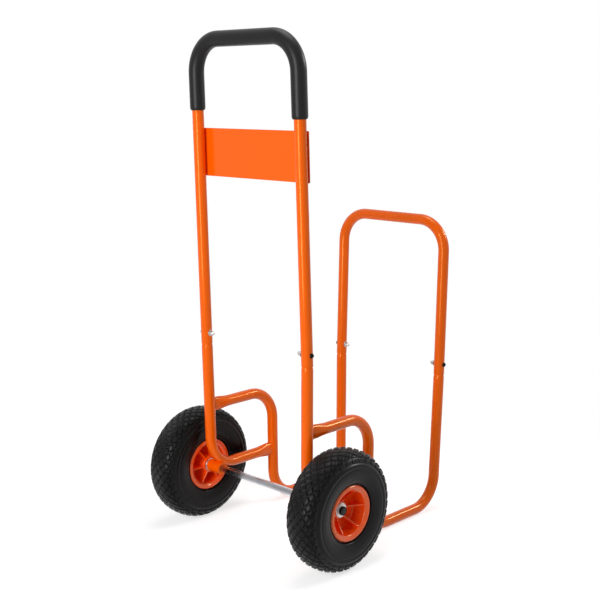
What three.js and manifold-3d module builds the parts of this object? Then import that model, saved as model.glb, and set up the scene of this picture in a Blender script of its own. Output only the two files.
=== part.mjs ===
// Fireside log cart: a two-wheeled cart of bent steel tube with a foam-covered handle, a front loop
// that holds the stacked logs, and two pneumatic wheels on a bare steel axle.
// Millimetres, +Z up, +Y towards the front loop, +X to the cart's right.
// The origin is on the floor, at the middle of the cart's width and of its length.

import * as THREE from "three";
import { mergeVertices } from "three/addons/utils/BufferGeometryUtils.js";
import Module from "manifold-3d";

// ---------------------------------------------------------------- driving dimensions

// Clearances
const seatGap = 0.3; // pieces that rest on, or are welded to, each other
const neckPlay = 0.4; // radial play of a swaged neck in the tube above it
const turningPlay = 0.1; // radial play of the wheels' bushes on the axle

// Frame tube
const tubeRadius = 12.5;
const tubeWall = 1.5;
const bendRadius = 70; // centreline of every bend but the rear ones
const rearBendRadius = 75; // centreline of the bend over the axle
const rearBendSquash = 5; // how much the inside of that bend is pressed in
const flatHalfHeight = 16; // a pressed tube end, along the tube that it is welded to
const flatHalfWidth = 8.4; // the same end, across that tube
const flatLength = 6; // length that keeps the full pressed shape
const flatBlend = 38; // length over which it turns round again

// Swaged necks and the bolts through them
const neckLength = 55;
const shoulderLength = 10;
const boltRise = 25; // bolt above the joint line
const boltRadius = 3;
const boltHoleRadius = 3.35;
const boltHeadRadius = 5.8;
const boltHeadHeight = 4.8;
const jointWasherRadius = 7;
const jointWasherThickness = 1.2;
const acornHexRadius = 5.8;
const acornHexHeight = 5;
const acornDomeRadius = 4.7;
const acornDomeHeight = 6.6;
const boltTipDepth = 7.5; // how far the bolt reaches into the acorn nut

// Wheels
const wheelRadius = 130;
const tyreHalfWidth = 42.5;
const tyreWidestRadius = 94;
const treadThickness = 7;
const sidewallThickness = 4.5;
const rimHalfWidth = 36.6;
const flangeRadius = 59.6;
const flangeThickness = 4;
const beadSeatRadius = 50.8;
const wellRadius = 47;
const wellHalfWidth = 15;
const wellShoulder = 5; // width of the slope from the well up to the bead seat
const dishMouthRadius = 46.6;
const mouthBevelWidth = 6.6; // bevel round the dish's mouth, across the rim's face
const mouthBevelDepth = 4.6;
const dishFloorRadius = 42.5;
const webOuterFace = 3;
const webInnerFace = -1;
const hubRadius = 19;
const hubOuterEnd = 6.5; // from the wheel's middle plane, towards its outer side
const hubInnerEnd = -36.6;
const ribCount = 6;
const ribThickness = 3.4;
const ribMouthDepth = 6.5; // a rib's outer end, below the rim's face
const ribFootLength = 3; // length of a rib that keeps the hub's height
const ribTurn = THREE.MathUtils.degToRad(7); // where the wheels have stopped
const innerTubeWall = 2.2;
const valveRadius = 4;
const valveFromMiddle = 8.5;
const valveTurn = THREE.MathUtils.degToRad(150);
const valveTipRadius = 31; // distance of the stem's tip from the axle
const valveCapLength = 7;
const valveCapWall = 1;

// Axle and what locates the wheels on it
const axleRadius = 8;
const axleChamfer = 1;
const bushWall = 2.4;
const bushLength = 14;
const bushFlangeRadius = 15.6;
const bushFlangeThickness = 1.5;
const axleWasherRadius = 13.5;
const axleWasherThickness = 2;
const axleCapWall = 1.3;
const axleCapLength = 5.5;
const axleCapEnd = 2; // solid end of the cap, beyond the axle
const lugRadius = 14;
const lugLength = 38;

// Side frames: each lies in a plane that opens outwards towards the top
const sideHalfWidth = 150.4; // at the height of the axle
const wheelOffset = 69.1; // wheel's middle plane, outwards from the side frame
const rearJointHeight = 428;
const sideSpread = 5.1; // how far the frames have opened at the rear joints
const rearJointHalfWidth = sideHalfWidth + sideSpread;
const rearJointY = -27.2;
const rearFootY = -22.2; // where the rear tube's two straights would meet
const strutRise = 7; // strut's centreline above the axle
const sideTopHeight = 283.5;
const legY = 172;
const frontFootY = 415.7; // where the runner and the front upright would meet
const frontJointHeight = 328;
const frontLean = 5.9; // front joint, forwards of the front foot
const frontJointY = frontFootY + frontLean;

// Front loop
const loopHeight = 700.2;
const loopLean = 0.0246; // forwards, as a slope

// Handle
const overallHeight = 1104.5;
const handleTaper = 4.5; // how far each upright has closed in at the top
const handleTopHalfWidth = rearJointHalfWidth - handleTaper;
const handleLean = 0.0354; // backwards, as a slope
const gripRadius = 16.5;
const gripDropLeft = 146; // foam's left end, below the top bar's centreline
const gripDropRight = 160.5;
const plateHeight = 102.5;
const plateTopDrop = 184; // plate's top edge, below the top bar's centreline
const plateThickness = 2;
const plateOverhang = 9.5; // beyond the tubes' centrelines

// Facets
const tubeSides = 12;
const bendStep = Math.PI / 10;
const tyreSegments = 32;
const crownDegrees = [90, 66, 42, 14]; // places on the tyre's crown, from its middle to its widest
const rimSegments = 24;
const axleSides = 24; // enough that a bush can turn on the axle without its flats touching
const capSides = 16;
const smallSegments = 12;

// ---------------------------------------------------------------- derived places

const axleHeight = wheelRadius;
const strutHeight = axleHeight + strutRise;
const runnerHeight = tubeRadius;
const wheelX = sideHalfWidth + wheelOffset;
const neckRadius = tubeRadius - tubeWall - neckPlay;
const loopTop = loopHeight - tubeRadius;
const handleTop = overallHeight - gripRadius;
const sideSlope = (rearJointHalfWidth - sideHalfWidth) / (rearJointHeight - axleHeight);
const bushRadius = axleRadius + turningPlay + bushWall;
const hubBoreRadius = bushRadius + seatGap;
const washerStack = bushFlangeThickness + axleWasherThickness + 3 * seatGap;
const lugOuterX = wheelX + hubInnerEnd - washerStack;
const capInnerX = wheelX + hubOuterEnd + washerStack;
const axleHalfLength = capInnerX + axleCapLength - axleCapEnd - seatGap;

/** Half the cart's width at a height, in the plane of a side frame. */
function sideX(z) {
  return sideHalfWidth + sideSlope * (z - axleHeight);
}

/** A point of a side frame; side is 1 on the right and -1 on the left. */
function sidePoint(side, y, z) {
  return new THREE.Vector3(side * sideX(z), y, z);
}

/** Position of the rear tube's straight at a height. */
function rearTubeY(z) {
  const share = (rearJointHeight - z) / (rearJointHeight - strutHeight);
  return rearJointY + (rearFootY - rearJointY) * share;
}

/** A point of the handle's uprights or, at handleTop, of its corners. */
function handlePoint(side, z) {
  const rise = z - rearJointHeight;
  const taper = (rearJointHalfWidth - handleTopHalfWidth) / (handleTop - rearJointHeight);
  return new THREE.Vector3(side * (rearJointHalfWidth - taper * rise), rearJointY - handleLean * rise, z);
}

/** A point of the front loop's uprights or, at loopTop, of its corners. */
function loopPoint(side, z) {
  const rise = z - frontJointHeight;
  return new THREE.Vector3(side * sideX(frontJointHeight), frontJointY + loopLean * rise, z);
}

// ---------------------------------------------------------------- solids and meshes

const wasm = await Module();
wasm.setup();

/** Six times the volume that the triangles enclose, negative where they face inwards. */
function signedVolume(positions, index) {
  const a = new THREE.Vector3();
  const b = new THREE.Vector3();
  const c = new THREE.Vector3();
  let sum = 0;
  for (let i = 0; i < index.length; i += 3) {
    a.fromArray(positions, 3 * index[i]);
    b.fromArray(positions, 3 * index[i + 1]);
    c.fromArray(positions, 3 * index[i + 2]);
    sum += a.dot(b.cross(c));
  }
  return sum;
}

/** The geometry with shared corners merged, no empty triangles, and its faces pointing out. */
function closed(geometry) {
  const bare = new THREE.BufferGeometry();
  bare.setAttribute("position", geometry.getAttribute("position"));
  bare.setIndex(geometry.index);
  const merged = mergeVertices(bare, 1e-3);
  const positions = merged.getAttribute("position").array;
  const all = merged.index.array;
  const index = [];
  for (let i = 0; i < all.length; i += 3) {
    const [a, b, c] = [all[i], all[i + 1], all[i + 2]];
    if (a !== b && b !== c && c !== a) {
      index.push(a, b, c);
    }
  }
  if (signedVolume(positions, index) < 0) {
    index.reverse();
  }
  merged.setIndex(index);
  merged.computeVertexNormals();
  return merged;
}

/** The closed geometry as a solid that can be joined and cut. */
function solidOf(geometry) {
  const body = closed(geometry);
  return new wasm.Manifold(
    new wasm.Mesh({
      numProp: 3,
      vertProperties: Float32Array.from(body.getAttribute("position").array),
      triVerts: Uint32Array.from(body.index.array),
    }),
  );
}

/** A solid as a geometry again. */
function geometryOf(solid) {
  const result = solid.getMesh();
  const geometry = new THREE.BufferGeometry();
  geometry.setAttribute("position", new THREE.BufferAttribute(result.vertProperties, 3));
  geometry.setIndex(new THREE.BufferAttribute(result.triVerts, 1));
  geometry.computeVertexNormals();
  return geometry;
}

/** The first geometry with every tool taken away. */
function cut(geometry, ...tools) {
  let solid = solidOf(geometry);
  for (const tool of tools) {
    solid = solid.subtract(solidOf(tool));
  }
  return geometryOf(solid);
}

/** All geometries as one. */
function join(geometry, ...others) {
  let solid = solidOf(geometry);
  for (const other of others) {
    solid = solid.add(solidOf(other));
  }
  return geometryOf(solid);
}

/** A solid turned about the X axis from [x, radius] points; it closes on itself off the axis. */
function turned(profile, segments) {
  const points = profile.map(([x, radius]) => new THREE.Vector2(radius, x));
  if (points[0].x > 0) {
    points.push(points[0].clone());
  }
  const geometry = new THREE.LatheGeometry(points, segments);
  geometry.rotateZ(-Math.PI / 2);
  return closed(geometry);
}

/** A ring about the X axis, between two faces and two radii. */
function ring(from, to, inner, outer, segments) {
  return turned([[from, inner], [from, outer], [to, outer], [to, inner]], segments);
}

/** A round bar between two points, its flats at the stated radius. */
function bar(from, to, radius, sides = smallSegments) {
  const span = to.clone().sub(from);
  const outer = radius / Math.cos(Math.PI / sides);
  const geometry = new THREE.CylinderGeometry(outer, outer, span.length(), sides);
  const turn = new THREE.Quaternion().setFromUnitVectors(new THREE.Vector3(0, 1, 0), span.normalize());
  geometry.applyQuaternion(turn);
  const middle = from.clone().add(to).multiplyScalar(0.5);
  geometry.translate(middle.x, middle.y, middle.z);
  return geometry;
}

// ---------------------------------------------------------------- bent tubes

/** Straight runs through the corners, with an arc of the given radius at each inner corner. */
function bentPath(corners, radii) {
  const pieces = [];
  const marks = [0];
  let length = 0;
  let from = corners[0];
  const addRun = (to) => {
    const start = from;
    const run = to.clone().sub(start);
    const span = run.length();
    pieces.push({ start: length, span, at: (u) => start.clone().addScaledVector(run, u / span) });
    length += span;
    marks.push(length);
  };
  for (let i = 1; i < corners.length - 1; i += 1) {
    const before = corners[i].clone().sub(corners[i - 1]).normalize();
    const after = corners[i + 1].clone().sub(corners[i]).normalize();
    const radius = radii[i - 1];
    const turn = before.angleTo(after);
    const setback = radius * Math.tan(turn / 2);
    const start = corners[i].clone().addScaledVector(before, -setback);
    addRun(start);
    if (radius > 0) {
      const inward = after.clone().addScaledVector(before, -Math.cos(turn)).normalize();
      const at = (u) => {
        const angle = u / radius;
        return start
          .clone()
          .addScaledVector(before, radius * Math.sin(angle))
          .addScaledVector(inward, radius * (1 - Math.cos(angle)));
      };
      pieces.push({ start: length, span: radius * turn, at });
      const steps = Math.ceil(turn / bendStep);
      for (let step = 1; step <= steps; step += 1) {
        marks.push(length + (radius * turn * step) / steps);
      }
      length += radius * turn;
    }
    from = corners[i].clone().addScaledVector(after, setback);
  }
  addRun(corners.at(-1));
  const point = (distance) => {
    const piece = pieces.findLast((candidate) => distance >= candidate.start) ?? pieces[0];
    return piece.at(distance - piece.start);
  };
  return { length, marks, point };
}

/** Stations along a path between two distances, with the section's axes at each. */
function stations(path, across, extraMarks, from = 0, to = path.length) {
  const inside = [...path.marks, ...extraMarks].filter((mark) => mark > from + 1e-3 && mark < to - 1e-3);
  const marks = [from, ...inside.sort((a, b) => a - b), to];
  const distinct = marks.filter((mark, i) => i === 0 || mark - marks[i - 1] > 1e-3);
  return distinct.map((distance) => {
    const step = 0.01;
    const tangent = path.point(distance + step).sub(path.point(distance - step)).normalize();
    const side = across.clone().addScaledVector(tangent, -across.dot(tangent)).normalize();
    const normal = side.clone().cross(tangent);
    return { distance, centre: path.point(distance), side, normal };
  });
}

/** One ring of a section: an ellipse of two half-widths, moved along the bend's plane. */
function sectionRing({ centre, side, normal }, { halfAcross, halfInPlane, shift }) {
  return Array.from({ length: tubeSides }, (_, i) => {
    const angle = (2 * Math.PI * i) / tubeSides;
    return centre
      .clone()
      .addScaledVector(side, halfAcross * Math.cos(angle))
      .addScaledVector(normal, halfInPlane * Math.sin(angle) + shift);
  });
}

/** A skin over rings of equal length; it closes on itself, or on a point at each end. */
function skin(rings, endToEnd) {
  const sides = rings[0].length;
  const points = rings.flat();
  const index = [];
  const last = endToEnd ? rings.length : rings.length - 1;
  for (let i = 0; i < last; i += 1) {
    const next = (i + 1) % rings.length;
    for (let j = 0; j < sides; j += 1) {
      const k = (j + 1) % sides;
      const [a, b, c, d] = [i * sides + j, i * sides + k, next * sides + k, next * sides + j];
      index.push(a, b, c, a, c, d);
    }
  }
  if (!endToEnd) {
    for (const [first, flip] of [[0, true], [(rings.length - 1) * sides, false]]) {
      const ringPoints = points.slice(first, first + sides);
      const middle = ringPoints.reduce((sum, p) => sum.add(p), new THREE.Vector3()).divideScalar(sides);
      points.push(middle);
      for (let j = 0; j < sides; j += 1) {
        const k = (j + 1) % sides;
        const [b, c] = flip ? [first + k, first + j] : [first + j, first + k];
        index.push(points.length - 1, b, c);
      }
    }
  }
  const geometry = new THREE.BufferGeometry().setFromPoints(points);
  geometry.setIndex(index);
  return closed(geometry);
}

/** A round section of one radius. */
function round(radius) {
  return { halfAcross: radius, halfInPlane: radius, shift: 0 };
}

/** The same section, smaller or larger all round. */
function grown({ halfAcross, halfInPlane, shift }, amount) {
  return { halfAcross: halfAcross + amount, halfInPlane: halfInPlane + amount, shift };
}

/** A tube with open ends: section(distance) is its outside, and wall its thickness. */
function pipe(places, section, wall) {
  const outside = places.map((place) => sectionRing(place, section(place.distance)));
  const inside = places.map((place) => sectionRing(place, grown(section(place.distance), -wall)));
  return skin([...outside, ...inside.reverse()], true);
}

/** The space that a tube takes up, grown all round. */
function envelope(places, section, amount) {
  return skin(places.map((place) => sectionRing(place, grown(section(place.distance), amount))), false);
}

/** A smooth step from 0 to 1. */
function ease(value) {
  const t = THREE.MathUtils.clamp(value, 0, 1);
  return t * t * (3 - 2 * t);
}

/** Radius of a swaged end, by the distance from its tip. */
function swagedRadius(fromTip) {
  const share = THREE.MathUtils.clamp((fromTip - neckLength) / shoulderLength, 0, 1);
  return neckRadius + (tubeRadius - neckRadius) * share;
}

/** A section pressed flat, by the distance from the surface that the end is welded to. */
function pressed(fromWeld) {
  const share = ease((fromWeld - flatLength) / flatBlend);
  return {
    halfAcross: flatHalfWidth + (tubeRadius - flatHalfWidth) * share,
    halfInPlane: flatHalfHeight + (tubeRadius - flatHalfHeight) * share,
    shift: 0,
  };
}

/** Distances from a pressed end's path start at which its shape needs a ring. */
function pressedMarks() {
  return [0, 0.3, 0.65, 1].map((share) => tubeRadius + flatLength + flatBlend * share);
}

/** A hole along X through both walls of a tube. */
function boltHole(place) {
  const reach = new THREE.Vector3(2 * tubeRadius, 0, 0);
  return bar(place.clone().sub(reach), place.clone().add(reach), boltHoleRadius);
}

/** Direction from one point to another. */
function heading(from, to) {
  return to.clone().sub(from).normalize();
}

// ---------------------------------------------------------------- materials

const orangePaint = { color: 0xfd6a02, roughness: 0.3, metalness: 0 };
const orangePlastic = { color: 0xf76215, roughness: 0.45, metalness: 0 };
const blackFoam = { color: 0x1f1f20, roughness: 0.85, metalness: 0 };
const blackRubber = { color: 0x1a1a1b, roughness: 0.75, metalness: 0 };
const blackPlastic = { color: 0x101010, roughness: 0.5, metalness: 0 };
const blackSteel = { color: 0x1c1a19, roughness: 0.4, metalness: 0.8 };
const bareSteel = { color: 0x9c9ba1, roughness: 0.35, metalness: 0.9 };
const zincPlate = { color: 0xc2c2bd, roughness: 0.3, metalness: 0.9 };
const brass = { color: 0xb08d46, roughness: 0.35, metalness: 0.9 };

const cart = new THREE.Group();

/** Adds a named piece to a group. */
function place(parent, name, geometry, finish) {
  const mesh = new THREE.Mesh(closed(geometry), new THREE.MeshStandardMaterial(finish));
  mesh.name = name;
  parent.add(mesh);
  return mesh;
}

// ---------------------------------------------------------------- rear tubes and side tubes

const sideNames = new Map([[1, "right"], [-1, "left"]]);

/** Across a side frame: square to its plane. */
function sideAcross(side) {
  return new THREE.Vector3(1, 0, -side * sideSlope).normalize();
}

/** Centre of the bolt through a joint, on the axis of the tube above the joint. */
function boltPlace(pointOf, side, jointHeight) {
  return pointOf(side, jointHeight + boltRise);
}

/** Path, places and outside of a rear tube: neck, upright, bend over the axle, strut to the leg. */
function rearTube(side) {
  const joint = handlePoint(side, rearJointHeight);
  const up = heading(joint, handlePoint(side, handleTop));
  const tip = joint.clone().addScaledVector(up, neckLength);
  const corner = sidePoint(side, rearFootY, strutHeight);
  const path = bentPath([tip, joint, corner, sidePoint(side, legY, strutHeight)], [0, rearBendRadius]);
  const turn = heading(joint, corner).angleTo(new THREE.Vector3(0, 1, 0));
  const bendStart = neckLength + joint.distanceTo(corner) - rearBendRadius * Math.tan(turn / 2);
  const bendLength = rearBendRadius * turn;
  const section = (distance) => {
    const swaged = swagedRadius(distance);
    const bendShare = THREE.MathUtils.clamp((distance - bendStart) / bendLength, 0, 1);
    const squash = (rearBendSquash / 2) * ease(Math.sin(Math.PI * bendShare));
    const end = pressed(path.length - tubeRadius - distance);
    return {
      halfAcross: Math.min(swaged, end.halfAcross) + squash / 2,
      halfInPlane: Math.min(swaged, tubeRadius) + (end.halfInPlane - tubeRadius) - squash,
      shift: -squash,
    };
  };
  const marks = [neckLength + shoulderLength, ...pressedMarks().map((mark) => path.length - mark)];
  const places = stations(path, sideAcross(side), marks);
  return { places, section };
}

for (const [side, name] of sideNames) {
  const { places, section } = rearTube(side);
  const legFoot = sidePoint(side, legY, runnerHeight);
  const legTop = sidePoint(side, legY, sideTopHeight);
  const leg = bar(legFoot, legTop, tubeRadius + seatGap, axleSides);
  const hole = boltHole(boltPlace(handlePoint, side, rearJointHeight));
  place(cart, `rear_tube_${name}`, cut(pipe(places, section, tubeWall), leg, hole), orangePaint);

  const lugInnerX = lugOuterX - lugLength;
  const sleeve = ring(lugInnerX, lugOuterX, axleRadius + seatGap, lugRadius, axleSides);
  sleeve.scale(side, 1, 1);
  sleeve.translate(0, 0, axleHeight);
  const lug = cut(closed(sleeve), envelope(places, section, seatGap));
  place(cart, `axle_lug_${name}`, lug, orangePaint);
}

for (const [side, name] of sideNames) {
  const weld = sidePoint(side, rearTubeY(sideTopHeight), sideTopHeight);
  const joint = sidePoint(side, frontJointY, frontJointHeight);
  const up = heading(joint, loopPoint(side, loopTop));
  const corners = [
    weld,
    sidePoint(side, legY, sideTopHeight),
    sidePoint(side, legY, runnerHeight),
    sidePoint(side, frontFootY, runnerHeight),
    joint,
    joint.clone().addScaledVector(up, neckLength),
  ];
  const path = bentPath(corners, [bendRadius, bendRadius, bendRadius, 0]);
  const section = (distance) => {
    const swaged = swagedRadius(path.length - distance);
    const end = pressed(distance - tubeRadius);
    return {
      halfAcross: Math.min(swaged, end.halfAcross),
      halfInPlane: swaged + (end.halfInPlane - tubeRadius),
      shift: 0,
    };
  };
  const marks = [...pressedMarks(), path.length - neckLength - shoulderLength];
  const places = stations(path, sideAcross(side), marks);
  const upright = bar(
    sidePoint(side, rearTubeY(rearJointHeight), rearJointHeight),
    sidePoint(side, rearTubeY(strutHeight), strutHeight),
    tubeRadius + seatGap,
    axleSides,
  );
  const hole = boltHole(boltPlace(loopPoint, side, frontJointHeight));
  place(cart, `side_tube_${name}`, cut(pipe(places, section, tubeWall), upright, hole), orangePaint);
}

// ---------------------------------------------------------------- front loop and handle

/** An upside-down U through two joints and two top corners. */
function archPath(pointOf, jointHeight, top) {
  return bentPath(
    [pointOf(-1, jointHeight), pointOf(-1, top), pointOf(1, top), pointOf(1, jointHeight)],
    [bendRadius, bendRadius],
  );
}

const loopAcross = new THREE.Vector3(0, 1, -loopLean).normalize();
const loopPlaces = stations(archPath(loopPoint, frontJointHeight, loopTop), loopAcross, []);
const loopHoles = [-1, 1].map((side) => boltHole(boltPlace(loopPoint, side, frontJointHeight)));
const loop = cut(pipe(loopPlaces, () => round(tubeRadius), tubeWall), ...loopHoles);
place(cart, "front_loop", loop, orangePaint);

const handleAcross = new THREE.Vector3(0, 1, handleLean).normalize();
const handlePath = archPath(handlePoint, rearJointHeight, handleTop);
const handlePlaces = stations(handlePath, handleAcross, []);
const handleHoles = [-1, 1].map((side) => boltHole(boltPlace(handlePoint, side, rearJointHeight)));
const handle = cut(pipe(handlePlaces, () => round(tubeRadius), tubeWall), ...handleHoles);
place(cart, "handle_tube", handle, orangePaint);

/** Distance along an upright of the handle from its joint to a drop below the top bar. */
function uprightDistance(drop) {
  return handlePoint(1, rearJointHeight).distanceTo(handlePoint(1, handleTop - drop));
}

const gripFrom = uprightDistance(gripDropLeft);
const gripTo = handlePath.length - uprightDistance(gripDropRight);
const gripPlaces = stations(handlePath, handleAcross, [], gripFrom, gripTo);
const foamThickness = gripRadius - tubeRadius - seatGap;
place(cart, "foam_grip", pipe(gripPlaces, () => round(gripRadius), foamThickness), blackFoam);

const plateMiddle = handleTop - plateTopDrop - plateHeight / 2;
const plateGroup = new THREE.Group();
plateGroup.position.set(0, handlePoint(1, plateMiddle).y, plateMiddle);
plateGroup.rotation.x = Math.atan(handleLean);
cart.add(plateGroup);
const plateWidth = 2 * (handlePoint(1, plateMiddle).x + plateOverhang);
const plate = place(
  plateGroup,
  "handle_plate",
  new THREE.BoxGeometry(plateWidth, plateThickness, plateHeight),
  orangePaint,
);
plate.position.y = tubeRadius + seatGap + plateThickness / 2;

// ---------------------------------------------------------------- bolted joints

/** Screw along X, its head's underside at the origin and its shank towards -X. */
function screwShape(length) {
  return turned(
    [
      [-length, 0],
      [-length, boltRadius],
      [0, boltRadius],
      [0, boltHeadRadius],
      [boltHeadHeight * 0.4, boltHeadRadius],
      [boltHeadHeight * 0.85, boltHeadRadius * 0.6],
      [boltHeadHeight, 0],
    ],
    smallSegments,
  );
}

/** Acorn nut along X, its flat face at the origin and its dome towards -X. */
function acornShape() {
  const body = new THREE.CylinderGeometry(acornHexRadius, acornHexRadius, acornHexHeight, 6);
  body.rotateZ(Math.PI / 2);
  body.translate(-acornHexHeight / 2, 0, 0);
  const domeSteps = 4;
  const dome = [[-acornHexHeight / 2, 0], [-acornHexHeight / 2, acornDomeRadius]];
  for (let i = 0; i < domeSteps; i += 1) {
    const angle = (Math.PI / 2) * (i / domeSteps);
    const height = acornDomeHeight * Math.sin(angle);
    dome.push([-acornHexHeight - height, acornDomeRadius * Math.cos(angle)]);
  }
  dome.push([-acornHexHeight - acornDomeHeight, 0]);
  const depth = boltTipDepth + seatGap;
  const bore = bar(new THREE.Vector3(1, 0, 0), new THREE.Vector3(-depth, 0, 0), boltRadius + seatGap);
  return cut(join(body, turned(dome, smallSegments)), bore);
}

const joints = [
  ["rear", handlePoint, rearJointHeight],
  ["front", loopPoint, frontJointHeight],
];
for (const [end, pointOf, jointHeight] of joints) {
  for (const [side, name] of sideNames) {
    const bolt = new THREE.Group();
    bolt.position.copy(boltPlace(pointOf, side, jointHeight));
    bolt.rotation.z = side > 0 ? 0 : Math.PI;
    cart.add(bolt);
    const washerFace = -tubeRadius - seatGap;
    const nutFace = washerFace - jointWasherThickness - seatGap;
    const shank = tubeRadius + seatGap - nutFace + boltTipDepth;
    const screw = place(bolt, `joint_screw_${end}_${name}`, screwShape(shank), blackSteel);
    screw.position.x = tubeRadius + seatGap;
    const washer = ring(-jointWasherThickness, 0, boltHoleRadius, jointWasherRadius, smallSegments);
    place(bolt, `joint_washer_${end}_${name}`, washer, zincPlate).position.x = washerFace;
    place(bolt, `acorn_nut_${end}_${name}`, acornShape(), zincPlate).position.x = nutFace;
  }
}

// ---------------------------------------------------------------- axle

const axle = turned(
  [
    [-axleHalfLength, 0],
    [-axleHalfLength, axleRadius - axleChamfer],
    [-axleHalfLength + axleChamfer, axleRadius],
    [axleHalfLength - axleChamfer, axleRadius],
    [axleHalfLength, axleRadius - axleChamfer],
    [axleHalfLength, 0],
  ],
  axleSides,
);
place(cart, "axle", axle, bareSteel).position.z = axleHeight;

for (const [side, name] of sideNames) {
  const end = new THREE.Group();
  end.position.z = axleHeight;
  end.rotation.z = side > 0 ? 0 : Math.PI;
  cart.add(end);
  const bore = axleRadius + seatGap;
  const washer = () => ring(0, axleWasherThickness, bore, axleWasherRadius, capSides);
  place(end, `axle_washer_inner_${name}`, washer(), zincPlate).position.x = lugOuterX + seatGap;
  const outerWasherX = capInnerX - seatGap - axleWasherThickness;
  place(end, `axle_washer_outer_${name}`, washer(), zincPlate).position.x = outerWasherX;
  const capRadius = bore + axleCapWall;
  const cap = turned(
    [
      [axleCapLength - axleCapEnd, 0],
      [axleCapLength - axleCapEnd, bore],
      [0, bore],
      [0, capRadius],
      [axleCapLength * 0.7, capRadius],
      [axleCapLength * 0.93, capRadius * 0.8],
      [axleCapLength, 0],
    ],
    capSides,
  );
  place(end, `axle_cap_${name}`, cap, blackPlastic).position.x = capInnerX;
}

// ---------------------------------------------------------------- wheels

/** Point of a rounded-square curve: sharpness 2 is an ellipse, more is squarer. */
function roundedSquare(angle, halfWidth, halfHeight, sharpness) {
  const soften = (value) => Math.sign(value) * Math.abs(value) ** (2 / sharpness);
  return [halfWidth * soften(Math.cos(angle)), halfHeight * soften(Math.sin(angle))];
}

const tyreSharpness = 2.4;
const sidewallReach = 46; // how far below the widest place the sidewall's curve would end
const beadRadius = beadSeatRadius + 2 * seatGap;
const beadOuterX = rimHalfWidth - flangeThickness - seatGap;
const beadThickness = 6;
const cavityTop = wheelRadius - treadThickness;
const cavityHalfWidth = tyreHalfWidth - sidewallThickness;
const cavityBottom = beadRadius + seatGap;
const cavityMiddle = (cavityTop + cavityBottom) / 2;

/** Cavity of the tyre as an [x, radius] point, smaller all round by an amount. */
function cavityPoint(angle, amount) {
  const halfHeight = (cavityTop - cavityBottom) / 2 - amount;
  const [x, rise] = roundedSquare(angle, cavityHalfWidth - amount, halfHeight, 2);
  return [x, cavityMiddle + rise];
}

/** One half of the tyre's outside, from the crown to the bead, as [x, radius] points. */
function tyreOutside() {
  const crown = crownDegrees.map((degrees) => {
    const angle = THREE.MathUtils.degToRad(degrees);
    const height = wheelRadius - tyreWidestRadius;
    const [x, rise] = roundedSquare(angle, tyreHalfWidth, height, tyreSharpness);
    return [x, tyreWidestRadius + rise];
  });
  const flangeTop = flangeRadius + 2 * seatGap;
  const wall = [0.55, 1].map((share) => {
    const fall = (tyreWidestRadius - flangeTop) * share;
    const x = tyreHalfWidth * (1 - (fall / sidewallReach) ** tyreSharpness) ** (1 / tyreSharpness);
    return [x, tyreWidestRadius - fall];
  });
  return [...crown, ...wall, [beadOuterX, flangeRadius], [beadOuterX, beadRadius]];
}

/** The tyre's shell: tread, sidewalls and beads, open towards the rim. */
function tyreShape() {
  const half = tyreOutside();
  const inside = [0, 45, 90].map((degrees) => cavityPoint(THREE.MathUtils.degToRad(degrees), 0));
  const bead = [beadOuterX - beadThickness, beadRadius];
  const right = [...half, bead, ...inside];
  const left = right
    .slice(1, -1)
    .map(([x, radius]) => [-x, radius])
    .reverse();
  return turned([...right, ...left], tyreSegments);
}

/** The valve's direction about the axle. */
function valvePoint(radius) {
  return new THREE.Vector3(valveFromMiddle, radius * Math.cos(valveTurn), radius * Math.sin(valveTurn));
}

/** The inner tube: a hollow ring with a hole under its valve. */
function innerTubeShape() {
  const angles = [0, 45, 90, 135, 180, 225, 270, 315].map(THREE.MathUtils.degToRad);
  const skinAt = (amount) => turned(angles.map((angle) => cavityPoint(angle, amount)), rimSegments);
  const outside = skinAt(2 * seatGap);
  const inside = skinAt(2 * seatGap + innerTubeWall);
  const hole = bar(valvePoint(beadSeatRadius - valveRadius), valvePoint(cavityMiddle), valveRadius / 2);
  return cut(outside, inside, hole);
}

/** One rib between hub and dish wall, in the plane through +Y. */
function ribShape(hubEnd, webFace) {
  const direction = Math.sign(hubEnd);
  const top = direction * (rimHalfWidth - ribMouthDepth);
  const hubTop = hubEnd - direction;
  const outline = new THREE.Shape();
  const buried = 1;
  outline.moveTo(webFace - direction * buried, hubRadius - buried);
  outline.lineTo(hubTop, hubRadius - buried);
  outline.lineTo(direction > 0 ? hubTop : top, hubRadius + ribFootLength);
  outline.lineTo(top, dishMouthRadius - 1);
  outline.lineTo(top, dishMouthRadius + buried);
  outline.lineTo(webFace - direction * buried, dishFloorRadius + buried);
  const rib = new THREE.ExtrudeGeometry(outline, { depth: ribThickness, bevelEnabled: false });
  rib.translate(0, 0, -ribThickness / 2);
  return rib;
}

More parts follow.
